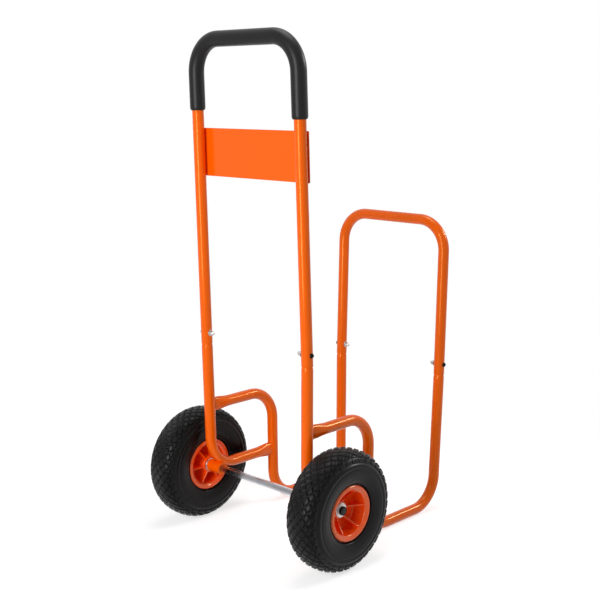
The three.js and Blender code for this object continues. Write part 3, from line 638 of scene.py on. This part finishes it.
def tyre_relief(steps, pitch, fine, sizes):
    """How far each point of the tyre stands off its outline, by the distance from the crown's middle.

    Two slanting coordinates are the pitch number plus and minus half the row number; a point is on a
    block where both are away from a whole number. Lugs are where the pitch number is away from a whole
    number. The surface is lowered between blocks and between lugs, and the wall has rings and a groove.
    """
    crown_end = (0.0358, 0.0372)
    lugs_start, lugs_end = (0.0392, 0.0405), (0.0465, 0.0480)
    wall_start, relief_end = (0.0500, 0.0540), (0.0900, 0.0930)
    lug_height, wall_height = 0.8, 0.75
    # Distance, half width, width of the edge and height of each ring on the wall
    wall_rings = (
        (0.0575, 0.0030, 0.0018, 0.0004),
        (0.0630, 0.0018, 0.0012, -0.0007),
        (0.0880, 0.0020, 0.0010, 0.0007),
    )
    row = steps[:, None] / sizes.tread_row_height
    first, second = (pitch + row / 2) % 1.0, (pitch - row / 2) % 1.0
    inside = np.minimum(np.minimum(first, 1.0 - first), np.minimum(second, 1.0 - second))
    block = step_between(inside, 1.0 / fine, 2.8 / fine)
    notch = np.abs(pitch % 1.0 - 0.5)
    lug = 1.0 - step_between(notch, 0.5 - 2.2 / fine, 0.5 - 1.0 / fine)
    across = np.abs(steps)[:, None]
    on_crown = 1.0 - step_between(across, *crown_end)
    on_lugs = step_between(across, *lugs_start) * (1.0 - step_between(across, *lugs_end))
    on_wall = step_between(across, *wall_start)
    height = np.maximum(np.maximum(block * on_crown, lug_height * lug * on_lugs), wall_height * on_wall)
    relief = sizes.tread_depth * (height - 1.0)
    for place, half, edge, rise in wall_rings:
        relief += rise * step_between(half - np.abs(across - place), 0.0, edge)
    return relief * (1.0 - step_between(across, *relief_end))


def tyre_cavity(angle, side):
    """The tyre's inside: a half ellipse turned about the axle between two feet on the bead seat."""
    foot_x, foot_radius, half_width, low, high = 0.0263, 0.0514, 0.0355, 0.0517, 0.123
    turn = np.linspace(0.0, np.pi, 12)
    x = np.concatenate([[foot_x], half_width * np.cos(turn), [-foot_x]])
    middle, half_height = (high + low) / 2, (high - low) / 2
    radius = np.concatenate([[foot_radius], middle + half_height * np.sin(turn), [foot_radius]])
    return polar(x, np.repeat(radius[:, None], len(angle), 1), 0.0, side)


def tyre_shell(side, sizes):
    """A tyre with diamond blocks on its crown, lugs on its shoulders and moulded rings on its walls.

    Rows stand at even distances along the outline on the crown, at wider ones on the wall and at the
    outline's own points on the foot. A point is the outline's, moved along its normal by the relief.
    """
    pitches, fine = sizes.tread_pitches, 18
    crown_rows, wall_rows, foot_rows = 46, 30, 4
    line_x, line_radius, length = tyre_outline()
    crown = np.arange(crown_rows) * (2.0 * sizes.tread_row_height / fine)
    wall = np.linspace(crown[-1], length[-foot_rows - 1], wall_rows)[1:]
    half = np.concatenate([crown, wall, length[-foot_rows:]])
    steps = np.concatenate([-half[:0:-1], half])
    x = np.sign(steps) * np.interp(np.abs(steps), length, line_x)
    radius = np.interp(np.abs(steps), length, line_radius)
    outward = unit(np.stack([-np.gradient(radius), np.gradient(x)], -1))
    angle = full_turn(pitches * fine)
    relief = tyre_relief(steps, angle[None, :] * pitches / (2.0 * np.pi), fine, sizes)
    along = side * (x[:, None] + relief * outward[:, 0:1])
    away = radius[:, None] + relief * outward[:, 1:2]
    outside = np.stack([along, away * np.cos(angle), away * np.sin(angle)], -1)
    return surface(np.concatenate([outside, tyre_cavity(angle, side)]) + wheel_centre(side), close_rows=True)


def rib(side, turn, web, hub_top, mouth_top, thickness):
    """A rib between hub and dish wall: a rounded slab carried outwards, its top edge sinking or rising.

    Each section is a rounded rectangle between the web and the top edge, of sine and cosine raised to a
    small power; the sections stand at even steps of radius from inside the hub to inside the dish wall.
    """
    points_round, squareness = 28, 0.35
    start, slope_start, slope_end, end = 0.018, 0.022, 0.045, 0.0476
    radius = np.linspace(start, end, 12)
    share = np.clip((radius - slope_start) / (slope_end - slope_start), 0.0, 1.0)
    top = hub_top + (mouth_top - hub_top) * share
    angle = full_turn(points_round)
    cosine, sine = (np.sign(value) * np.abs(value) ** squareness for value in (np.cos(angle), np.sin(angle)))
    x = ((top + web) / 2)[:, None] + ((top - web) / 2)[:, None] * cosine
    across = np.repeat(thickness / 2 * sine[None], len(radius), 0)
    along = np.repeat(radius[:, None], points_round, 1)
    y = along * math.cos(turn) - across * math.sin(turn)
    z = along * math.sin(turn) + across * math.cos(turn)
    points = np.stack([side * x, y, z], -1)
    ends = points.mean(axis=1, keepdims=True)
    first, last = (np.repeat(end, points_round, 1) for end in (ends[:1], ends[-1:]))
    return surface(np.concatenate([first, points, last]) + wheel_centre(side))


def rim_profile():
    """The rim's section: hub, outer dish, barrel with its flanges and seats, inner dish, hub again."""
    mouth_radius, flange_radius, seat_radius, well_radius = 0.0466, 0.0596, 0.0508, 0.047
    hub_radius, hub_root_radius, hub_bore, dish_radius = 0.019, 0.0205, 0.0109, 0.0425
    web_outer, web_inner, seat_end, well_start = 0.003, -0.001, 0.020, 0.015
    bevel_depth, bevel_rise, flange_width, flange_corner = 0.0046, 0.0066, 0.0040, 0.0026
    barrel = [
        [RIM_FACE - bevel_depth, mouth_radius],
        [RIM_FACE, mouth_radius + bevel_rise],
        [RIM_FACE, flange_radius - flange_corner],
        [RIM_FACE - flange_corner, flange_radius],
        [RIM_FACE - flange_width, flange_radius],
        [RIM_FACE - flange_width, seat_radius],
        [seat_end, seat_radius],
        [well_start, well_radius],
    ]
    outer_hub = [[HUB_FACE, hub_bore], [HUB_FACE, hub_radius]]
    outer_web = [[web_outer, hub_root_radius], [web_outer, dish_radius]]
    mirrored = [[-x, radius] for x, radius in barrel[::-1]]
    inner_web = [[web_inner, dish_radius], [web_inner, hub_root_radius]]
    inner_hub = [[-RIM_FACE, hub_radius], [-RIM_FACE, hub_bore]]
    return closed_profile(outer_hub + outer_web + barrel + mirrored + inner_web + inner_hub, 0.0016, 5)


def rim_shells(side, sizes):
    """The turned rim and its ribs, the same number on each side of the web."""
    mouth_top, outer_web, outer_hub, inner_web, inner_hub = 0.0301, 0.002, 0.0055, 0.0, -0.0350
    shells = [turned(rim_profile(), wheel_centre(side), side, 128, close_rows=True)]
    for i in range(sizes.rib_count):
        turn = RIB_TURN + 2.0 * math.pi * i / sizes.rib_count
        shells.append(rib(side, turn, outer_web, outer_hub, mouth_top, sizes.rib_thickness))
        shells.append(rib(side, turn, inner_web, inner_hub, -mouth_top, sizes.rib_thickness))
    return shells


def hub_bush(side, direction, face, flange_radius):
    """A flanged bush turned from its profile, its flange's face out from the wheel's middle either way."""
    bore, length, sleeve_radius, flange = 0.0081, 0.014, 0.0105, 0.0015
    corners = [
        [-length, bore],
        [-length, sleeve_radius],
        [-flange, sleeve_radius],
        [-flange, flange_radius],
        [0.0, flange_radius],
        [0.0, bore],
    ]
    profile = closed_profile(corners, 0.0005)
    profile[:, 0] = direction * (face + profile[:, 0])
    return turned(profile, wheel_centre(side), side, 56, close_rows=True)


# ---- finishes


def node(tree, kind, location, **values):
    """A shader node; values whose names start with in_ go to its inputs, the others are its settings."""
    made = tree.nodes.new(kind)
    made.location = location
    for key, value in values.items():
        if key.startswith("in_"):
            made.inputs[key[3:].replace("_", " ")].default_value = value
        else:
            setattr(made, key, value)
    return made


def ramp(tree, location, start, end, low=0.0, high=1.0, kind="LINEAR"):
    """A node whose value runs from low to high while its input runs from start to end."""
    limits = {"in_From_Min": start, "in_From_Max": end, "in_To_Min": low, "in_To_Max": high}
    return node(tree, "ShaderNodeMapRange", location, interpolation_type=kind, **limits)


def finish(slot, colour, roughness, **sockets):
    """A slot's material, with the parts that the next functions add to: tree, shader and coordinates."""
    material = bpy.data.materials.new(slot + "_finish")
    material.use_nodes = True
    tree = material.node_tree
    tree.nodes.clear()
    output = node(tree, "ShaderNodeOutputMaterial", (600, 0))
    base = {"in_Base_Color": (*colour, 1.0), "in_Roughness": roughness}
    shader = node(tree, "ShaderNodeBsdfPrincipled", (300, 0), **base, **sockets)
    coordinates = node(tree, "ShaderNodeTexCoord", (-1100, 0))
    tree.links.new(shader.outputs["BSDF"], output.inputs["Surface"])
    return material, (tree, shader, coordinates)


def drift(parts, height, scale, detail, low=0.0, high=1.0):
    """Soft noise in Object coordinates that runs between two values; height places its nodes."""
    tree, _, coordinates = parts
    noise = node(tree, "ShaderNodeTexNoise", (-700, height), in_Scale=scale, in_Detail=detail)
    spread = ramp(tree, (-400, height), 0.3, 0.7, low, high)
    link = tree.links.new
    link(coordinates.outputs["Object"], noise.inputs["Vector"])
    link(noise.outputs["Fac"], spread.inputs["Value"])
    return spread.outputs["Result"]


def mottle(parts, colour, darker, scale, detail=3.0):
    """Base colour that drifts between the colour and a darker one."""
    tree, shader, _ = parts
    mix = node(tree, "ShaderNodeMix", (-100, 200), data_type="RGBA")
    mix.inputs["A"].default_value = (*(value * darker for value in colour), 1.0)
    mix.inputs["B"].default_value = (*colour, 1.0)
    link = tree.links.new
    link(drift(parts, 200, scale, detail), mix.inputs["Factor"])
    link(mix.outputs["Result"], shader.inputs["Base Color"])


def uneven_gloss(parts, low, high, scale):
    """Roughness that drifts between two values."""
    tree, shader, _ = parts
    tree.links.new(drift(parts, -100, scale, 4.0, low, high), shader.inputs["Roughness"])


def grain(parts, scale, distance, strength, stretch=(1.0, 1.0, 1.0), cells=False):
    """Fine relief: noise or cells, stretched along an axis, as a bump on the normal."""
    tree, shader, coordinates = parts
    mapping = node(tree, "ShaderNodeMapping", (-900, -400), in_Scale=stretch)
    if cells:
        pattern = node(tree, "ShaderNodeTexVoronoi", (-700, -400), in_Scale=scale)
        value = pattern.outputs["Distance"]
    else:
        pattern = node(tree, "ShaderNodeTexNoise", (-700, -400), in_Scale=scale, in_Detail=2.0)
        value = pattern.outputs["Fac"]
    bump = node(tree, "ShaderNodeBump", (-100, -400), in_Distance=distance, in_Strength=strength)
    link = tree.links.new
    link(coordinates.outputs["Object"], mapping.inputs["Vector"])
    link(mapping.outputs["Vector"], pattern.inputs["Vector"])
    link(value, bump.inputs["Height"])
    link(bump.outputs["Normal"], shader.inputs["Normal"])


def painted_edge_reflection(parts, low, high):
    """Painted reflection: colour scaled from low, where the surface faces the viewer, up to high at its
    edges, standing in for the dark middle and bright edges that reflection gives a round bar.
    """
    tree, shader, _ = parts
    weight = node(tree, "ShaderNodeLayerWeight", (-500, 400), in_Blend=0.5)
    spread = ramp(tree, (-300, 400), 0.05, 0.7, low, high)
    scaled = node(tree, "ShaderNodeVectorMath", (-100, 400), operation="SCALE")
    link = tree.links.new
    link(weight.outputs["Facing"], spread.inputs["Value"])
    link(spread.outputs["Result"], scaled.inputs["Scale"])
    link(shader.inputs["Base Color"].links[0].from_socket, scaled.inputs[0])
    link(scaled.outputs["Vector"], shader.inputs["Base Color"])


def paint_finish(slot, colour):
    """Glossy powder coat: slight orange peel, slight drift in depth of colour and gloss."""
    tint = (1.0, 0.84, 0.27, 1.0)
    material, parts = finish(slot, colour, 0.14, in_Specular_IOR_Level=0.42, in_Specular_Tint=tint)
    mottle(parts, colour, darker=0.96, scale=9.0)
    uneven_gloss(parts, low=0.12, high=0.17, scale=60.0)
    grain(parts, scale=300.0, distance=0.00008, strength=0.10)
    return material


def plastic_finish(slot, colour):
    """Moulded plastic: faint mould texture under a soft sheen."""
    tint = (1.0, 0.9, 0.55, 1.0)
    material, parts = finish(slot, colour, 0.2, in_Specular_IOR_Level=0.75, in_Specular_Tint=tint)
    mottle(parts, colour, darker=0.93, scale=30.0)
    uneven_gloss(parts, low=0.16, high=0.23, scale=90.0)
    grain(parts, scale=700.0, distance=0.00008, strength=0.2)
    return material


def foam_finish(slot, colour):
    """Closed-cell foam: small round cells under a low sheen."""
    material, parts = finish(slot, colour, 0.38, in_Specular_IOR_Level=0.24)
    mottle(parts, colour, darker=0.75, scale=160.0, detail=6.0)
    uneven_gloss(parts, low=0.35, high=0.41, scale=220.0)
    grain(parts, scale=900.0, distance=0.0001, strength=0.06, cells=True)
    return material


def rubber_finish(slot, colour):
    """Tyre rubber: near black, darker in places, with a fine moulded grain."""
    material, parts = finish(slot, colour, 0.32, in_Specular_IOR_Level=0.14)
    mottle(parts, colour, darker=0.7, scale=45.0, detail=5.0)
    uneven_gloss(parts, low=0.24, high=0.38, scale=80.0)
    grain(parts, scale=600.0, distance=0.00015, strength=0.2)
    return material


def metal_finish(slot, colour, low, high, stretch=(1.0, 1.0, 1.0), painted_reflection=None):
    """Metal with fine marks that can be stretched along an axis; a painted reflection can darken it where it
    faces the viewer and brighten its edges.
    """
    material, parts = finish(slot, colour, low, in_Metallic=1.0)
    mottle(parts, colour, darker=0.86, scale=70.0, detail=5.0)
    uneven_gloss(parts, low, high, 120.0)
    grain(parts, scale=300.0, distance=0.00004, strength=0.05, stretch=stretch)
    # Painted reflection in the base colour: darker where the surface faces the viewer, brighter at its edges
    if painted_reflection:
        painted_edge_reflection(parts, *painted_reflection)
    return material


def black_finish(slot, colour, metallic, low, high):
    """Black plastic, butyl rubber or black-finished steel, with a slightly uneven gloss."""
    material, parts = finish(slot, colour, low, in_Metallic=metallic, in_Specular_IOR_Level=0.25)
    mottle(parts, colour, darker=0.8, scale=200.0)
    uneven_gloss(parts, low, high, 150.0)
    grain(parts, scale=900.0, distance=0.00005, strength=0.2)
    return material


# Each slot's maker, the colour that it takes and its other values
FINISHES = {
    "orange_paint": (paint_finish, "paint"),
    "orange_plastic": (plastic_finish, "plastic"),
    "black_foam": (foam_finish, "foam"),
    "tyre_rubber": (rubber_finish, "tyre"),
    # The axle's last pair is a painted reflection: colour from a quarter, where it faces the viewer, to over
    # twice at its edges
    "bare_steel": (metal_finish, "steel", 0.15, 0.20, (0.04, 1.0, 1.0), (0.25, 2.2)),
    "zinc_plate": (metal_finish, "zinc", 0.24, 0.36),
    "brass": (metal_finish, "brass", 0.28, 0.40),
    "black_plastic": (black_finish, "black", 0.0, 0.12, 0.20),
    "black_steel": (black_finish, "black", 0.6, 0.30, 0.42),
    "inner_tube_rubber": (black_finish, "tyre", 0.0, 0.60, 0.80),
}


def material_of(slot):
    """A slot's finish, made on first use from the scene's colours."""
    made = bpy.data.materials.get(slot + "_finish")
    if made:
        return made
    maker, colour_name, *values = FINISHES[slot]
    return maker(slot, tuple(getattr(bpy.context.scene.log_cart_colours, colour_name)), *values)


# ---- operators


def welded_tubes(kind, weld, maker, sizes):
    """The left and the right tube of a kind, each with its weld bead."""
    for name, side in SIDES:
        tube, bead = maker(side, sizes)
        dress(f"{kind}_smooth_{name}", [tube], "frame", "orange_paint", f"{kind}_{name}", sharp=50.0)
        dress(f"{weld}_{name}", [bead], "frame", "orange_paint", sharp=60.0)


class CART_OT_rear_tubes(Operator):
    """Build the rear tubes: swaged neck, upright, bend over the axle and strut with its pressed end."""

    bl_idname = "log_cart.rear_tubes"
    bl_label = "Rear Tubes"

    def execute(self, context):
        welded_tubes("rear_tube", "strut_weld", rear_tube, context.scene.log_cart_sizes)
        return {"FINISHED"}


class CART_OT_side_tubes(Operator):
    """Build the side tubes: pressed end, top bar, leg, floor runner and front upright with its neck."""

    bl_idname = "log_cart.side_tubes"
    bl_label = "Side Tubes"

    def execute(self, context):
        welded_tubes("side_tube", "side_weld", side_tube, context.scene.log_cart_sizes)
        return {"FINISHED"}


class CART_OT_handle_and_loop(Operator):
    """Build the handle tube and the front loop, each an upside-down U with open lower ends."""

    bl_idname = "log_cart.handle_and_loop"
    bl_label = "Handle and Loop"

    def execute(self, context):
        sizes = context.scene.log_cart_sizes
        tube, bend = sizes.tube_radius, sizes.bend_radius
        handle = arch(handle_point, REAR_JOINT_Z, HANDLE_TOP - sizes.grip_radius, bend)
        loop = arch(loop_point, FRONT_JOINT_Z, LOOP_TOP_Z, bend)
        for node_name, path, lean in (("handle_tube", handle, HANDLE_LEAN), ("front_loop", loop, -LOOP_LEAN)):
            shell, _ = pipe(path, (0.0, 1.0, lean), tube, tube, sizes.tube_wall)
            dress(node_name + "_smooth", [shell], "frame", "orange_paint", node_name, sharp=50.0)
        return {"FINISHED"}


class CART_OT_foam_grip(Operator):
    """Build the foam grip over the handle's top bar and bends, with soft rounded ends."""

    bl_idname = "log_cart.foam_grip"
    bl_label = "Foam Grip"

    def execute(self, context):
        shell = grip_sleeve(context.scene.log_cart_sizes)
        made = dress("foam_grip_soft", [shell], "frame", "black_foam", "foam_grip", sharp=60.0)
        return {"FINISHED"}


class CART_OT_handle_plate(Operator):
    """Build the sheet plate across the handle's uprights, with softened edges and corners."""

    bl_idname = "log_cart.handle_plate"
    bl_label = "Handle Plate"

    def execute(self, context):
        shell = plate_sheet(context.scene.log_cart_sizes)
        dress("handle_plate_sheet", [shell], "frame", "orange_paint", "handle_plate", sharp=30.0)
        return {"FINISHED"}


class CART_OT_axle(Operator):
    """Build the drawn steel axle, the lugs that hold it and the washers and caps on it."""

    bl_idname = "log_cart.axle"
    bl_label = "Axle, Lugs and Caps"

    def execute(self, context):
        lug_radius, lug_edge, washer_radius, washer_edge, chamfer = 0.014, 0.0006, 0.0135, 0.0003, 0.001
        low, high = np.array(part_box("axle"))
        half = (high[0] - low[0]) / 2
        corners = [[-half, 0.0], [-half, AXLE_RADIUS], [half, AXLE_RADIUS], [half, 0.0]]
        dress("axle_rod", [turned(rounded(corners, chamfer), AXLE, 1, 48)], "frame", "bare_steel", "axle")
        for name, side in SIDES:
            node_name = f"axle_lug_{name}"
            shell = flat_ring(axle_span(node_name), SEAT_BORE, lug_radius, lug_edge, AXLE, side, 56)
            dress(f"axle_lug_smooth_{name}", [shell], "frame", "orange_paint", node_name)
            for place in ("inner", "outer"):
                node_name = f"axle_washer_{place}_{name}"
                shell = flat_ring(axle_span(node_name), SEAT_BORE, washer_radius, washer_edge, AXLE, side, 48)
                dress(f"axle_washer_round_{place}_{name}", [shell], "frame", "zinc_plate", node_name)
            node_name = f"axle_cap_{name}"
            shell = axle_cap(axle_span(node_name), side)
            dress(f"axle_cap_round_{name}", [shell], "frame", "black_plastic", node_name)
        return {"FINISHED"}


class CART_OT_joint_hardware(Operator):
    """Build the button-head screws, washers and acorn nuts of the four bolted joints."""

    bl_idname = "log_cart.joint_hardware"
    bl_label = "Joint Hardware"

    def execute(self, context):
        washer_thickness, bore, radius, edge = 0.0012, 0.0034, 0.007, 0.0002
        face = context.scene.log_cart_sizes.tube_radius + SEAT_GAP
        washer_end = -face - washer_thickness
        joints = (("rear", handle_point, REAR_JOINT_Z), ("front", loop_point, FRONT_JOINT_Z))
        for joint, point_of, height in joints:
            for name, side in SIDES:
                centre = point_of(side, height + BOLT_RISE)
                place = f"{joint}_{name}"
                screw = button_screw(face, centre, side)
                washer = flat_ring((washer_end, -face), bore, radius, edge, centre, side, 40)
                nut = acorn_nut(washer_end - SEAT_GAP, centre, side)
                for part, shell, slot, sharp in (
                    ("joint_screw", screw, "black_steel", 35.0),
                    ("joint_washer", washer, "zinc_plate", 35.0),
                    ("acorn_nut", nut, "zinc_plate", 25.0),
                ):
                    dress(f"{part}_round_{place}", [shell], "frame", slot, f"{part}_{place}", sharp=sharp)
        return {"FINISHED"}


class CART_OT_tyres(Operator):
    """Build both tyres with their tread blocks, and finish the inner tubes in them."""

    bl_idname = "log_cart.tyres"
    bl_label = "Tyres"

    def execute(self, context):
        for name, side in SIDES:
            shell = tyre_shell(side, context.scene.log_cart_sizes)
            dress(f"tyre_treaded_{name}", [shell], f"wheel_{name}", "tyre_rubber", f"tyre_{name}", sharp=50.0)
            refinish(f"inner_tube_{name}", "inner_tube_rubber")
        return {"FINISHED"}


class CART_OT_rims(Operator):
    """Build both one-piece rims: flanges, bead seats, dishes, ribs and hub."""

    bl_idname = "log_cart.rims"
    bl_label = "Rims"

    def execute(self, context):
        for name, side in SIDES:
            shells = rim_shells(side, context.scene.log_cart_sizes)
            dress(f"rim_moulded_{name}", shells, f"wheel_{name}", "orange_plastic", f"rim_{name}")
        return {"FINISHED"}


class CART_OT_hub_parts(Operator):
    """Build the flanged bushes of both wheels, and finish the valve stems and valve caps."""

    bl_idname = "log_cart.hub_parts"
    bl_label = "Bushes and Valves"

    def execute(self, context):
        rise, outer_flange, inner_flange = 0.0018, 0.0156, 0.0143
        bushes = (("outer", 1, HUB_FACE + rise, outer_flange), ("inner", -1, RIM_FACE + rise, inner_flange))
        for name, side in SIDES:
            for place, direction, face, flange_radius in bushes:
                bush = hub_bush(side, direction, face, flange_radius)
                piece_name, node_name = f"hub_bush_round_{place}_{name}", f"hub_bush_{place}_{name}"
                dress(piece_name, [bush], f"wheel_{name}", "zinc_plate", node_name)
            refinish(f"valve_stem_{name}", "brass")
            refinish(f"valve_cap_{name}", "black_plastic")
        return {"FINISHED"}


# ---- studio


def area_lamp(name, location, target, size, radiance):
    """A rectangular soft lamp that faces a point; its power is pi times its area times its radiance."""
    data = bpy.data.lights.new(name, "AREA")
    data.shape = "RECTANGLE"
    data.size, data.size_y = size
    data.energy = math.pi * size[0] * size[1] * radiance
    lamp = bpy.data.objects.new(name, data)
    bpy.context.scene.collection.objects.link(lamp)
    direction = unit(np.array(target) - np.array(location))
    lamp.location = location
    lamp.rotation_euler = (math.acos(-direction[2]), 0.0, math.atan2(direction[0], -direction[1]) + math.pi)
    lamp.visible_camera = False


def seen_directly(tree):
    """One where the eye, a mirror or glass looks at a surface, and nought for its light on other things."""
    paths = node(tree, "ShaderNodeLightPath", (-600, 300))
    first = node(tree, "ShaderNodeMath", (-400, 300), operation="MAXIMUM")
    second = node(tree, "ShaderNodeMath", (-200, 300), operation="MAXIMUM")
    link = tree.links.new
    link(paths.outputs["Is Camera Ray"], first.inputs[0])
    link(paths.outputs["Is Glossy Ray"], first.inputs[1])
    link(first.outputs[0], second.inputs[0])
    link(paths.outputs["Is Transmission Ray"], second.inputs[1])
    return second.outputs[0]


def floor_finish(colour):
    """Pale floor that takes shadows, glows where it is seen and fades to white away from the cart."""
    glow_strength, fade_start, fade_end = 0.66, 0.55, 1.2
    material = bpy.data.materials.new("studio_floor")
    material.use_nodes = True
    tree = material.node_tree
    tree.nodes.clear()
    output = node(tree, "ShaderNodeOutputMaterial", (800, 0))
    diffuse = node(tree, "ShaderNodeBsdfDiffuse", (0, 0), in_Color=(*colour, 1.0))
    glow = node(tree, "ShaderNodeEmission", (0, -150))
    add = node(tree, "ShaderNodeAddShader", (300, 0))
    white = node(tree, "ShaderNodeEmission", (0, -300), in_Strength=1.0)
    mix = node(tree, "ShaderNodeMixShader", (550, 0))
    seen = seen_directly(tree)
    strength = node(tree, "ShaderNodeMath", (-200, -150), operation="MULTIPLY")
    strength.inputs[1].default_value = glow_strength
    coordinates = node(tree, "ShaderNodeTexCoord", (-900, -400))
    distance = node(tree, "ShaderNodeVectorMath", (-700, -400), operation="LENGTH")
    fade = ramp(tree, (-500, -400), fade_start, fade_end, kind="SMOOTHSTEP")
    both = node(tree, "ShaderNodeMath", (-200, -400), operation="MULTIPLY")
    link = tree.links.new
    link(seen, strength.inputs[0])
    link(strength.outputs[0], glow.inputs["Strength"])
    link(coordinates.outputs["Object"], distance.inputs[0])
    link(distance.outputs["Value"], fade.inputs["Value"])
    link(fade.outputs["Result"], both.inputs[0])
    link(seen, both.inputs[1])
    link(both.outputs[0], mix.inputs["Fac"])
    link(diffuse.outputs[0], add.inputs[0])
    link(glow.outputs[0], add.inputs[1])
    link(add.outputs[0], mix.inputs[1])
    link(white.outputs[0], mix.inputs[2])
    link(mix.outputs[0], output.inputs["Surface"])
    return material


def floor_disc():
    """A round floor just below the wheels: rings of points at growing radii, times cosine and sine."""
    angle = full_turn(96)
    radius = np.array([0.0, 1.0, 3.0, 8.0])[:, None]
    level = np.full((len(radius), len(angle)), -0.0002)
    return surface(np.stack([radius * np.cos(angle), radius * np.sin(angle), level], -1))


def white_surroundings():
    """A world that is white where it is seen and gives little light to the cart."""
    world = bpy.data.worlds.new("studio_surroundings")
    world.use_nodes = True
    tree = world.node_tree
    tree.nodes.clear()
    output = node(tree, "ShaderNodeOutputWorld", (600, 0))
    background = node(tree, "ShaderNodeBackground", (300, 0), in_Color=(1.0, 1.0, 1.0, 1.0))
    strength = ramp(tree, (50, 0), 0.0, 1.0, 0.15, 1.0)
    link = tree.links.new
    link(seen_directly(tree), strength.inputs["Value"])
    link(strength.outputs["Result"], background.inputs["Strength"])
    link(background.outputs[0], output.inputs["Surface"])
    return world


def view_camera():
    """The camera behind the cart's right wheel, at the height of the handle's plate."""
    tilt_down, turn = math.radians(10.74), math.radians(44.20)
    data = bpy.data.cameras.new("camera")
    data.lens = 65.24
    data.sensor_width = 36.0
    camera = bpy.data.objects.new("camera", data)
    camera.location = cart(1.64947, -1.58480, 0.97622)
    camera.rotation_euler = (math.pi / 2 - tilt_down, 0.0, turn)
    return camera


class CART_OT_stage(Operator):
    """Build the floor, the lamps, the white surroundings and the camera."""

    bl_idname = "log_cart.stage"
    bl_label = "Stage"

    def execute(self, context):
        scene = context.scene
        floor = piece("studio_floor", [floor_disc()], floor_finish(scene.log_cart_colours.ground))
        scene.world = white_surroundings()
        area_lamp("key_lamp", (0.39, -2.42, 0.98), (0.0, 0.0, 0.98), (0.9, 1.9), 8.5)
        area_lamp("back_lamp", (1.40, 2.30, 2.05), (0.0, 0.0, 0.4), (1.1, 0.6), 17.0)
        area_lamp("top_lamp", (-0.2, 0.1, 2.9), (0.0, 0.0, 0.0), (1.4, 1.4), 3.4)
        scene.camera = view_camera()
        scene.collection.objects.link(scene.camera)
        scene.view_settings.view_transform = "Standard"
        return {"FINISHED"}


OPERATORS = (
    CART_OT_rear_tubes,
    CART_OT_side_tubes,
    CART_OT_handle_and_loop,
    CART_OT_foam_grip,
    CART_OT_handle_plate,
    CART_OT_axle,
    CART_OT_joint_hardware,
    CART_OT_tyres,
    CART_OT_rims,
    CART_OT_hub_parts,
    CART_OT_stage,
)


class CART_PT_panel(Panel):
    """Lists the cart's sizes, colours and building steps."""

    bl_idname = "CART_PT_panel"
    bl_label = "Fireside Log Cart"
    bl_space_type = "VIEW_3D"
    bl_region_type = "UI"
    bl_category = "Log Cart"

    def draw(self, context):
        layout = self.layout
        for group in (context.scene.log_cart_sizes, context.scene.log_cart_colours):
            column = layout.column(align=True)
            for name in group.bl_rna.properties.keys():
                if name not in {"rna_type", "name"}:
                    column.prop(group, name)
        for operator in OPERATORS:
            layout.operator(operator.bl_idname)


CLASSES = (CartSizes, CartColours, *OPERATORS, CART_PT_panel)


def register():
    for cls in CLASSES:
        bpy.utils.register_class(cls)
    bpy.types.Scene.log_cart_sizes = PointerProperty(type=CartSizes)
    bpy.types.Scene.log_cart_colours = PointerProperty(type=CartColours)


def unregister():
    del bpy.types.Scene.log_cart_colours
    del bpy.types.Scene.log_cart_sizes
    for cls in reversed(CLASSES):
        bpy.utils.unregister_class(cls)


def main():
    register()
    for operator in OPERATORS:
        group, name = operator.bl_idname.split(".")
        getattr(getattr(bpy.ops, group), name)()


if __name__ == "__main__":
    main()
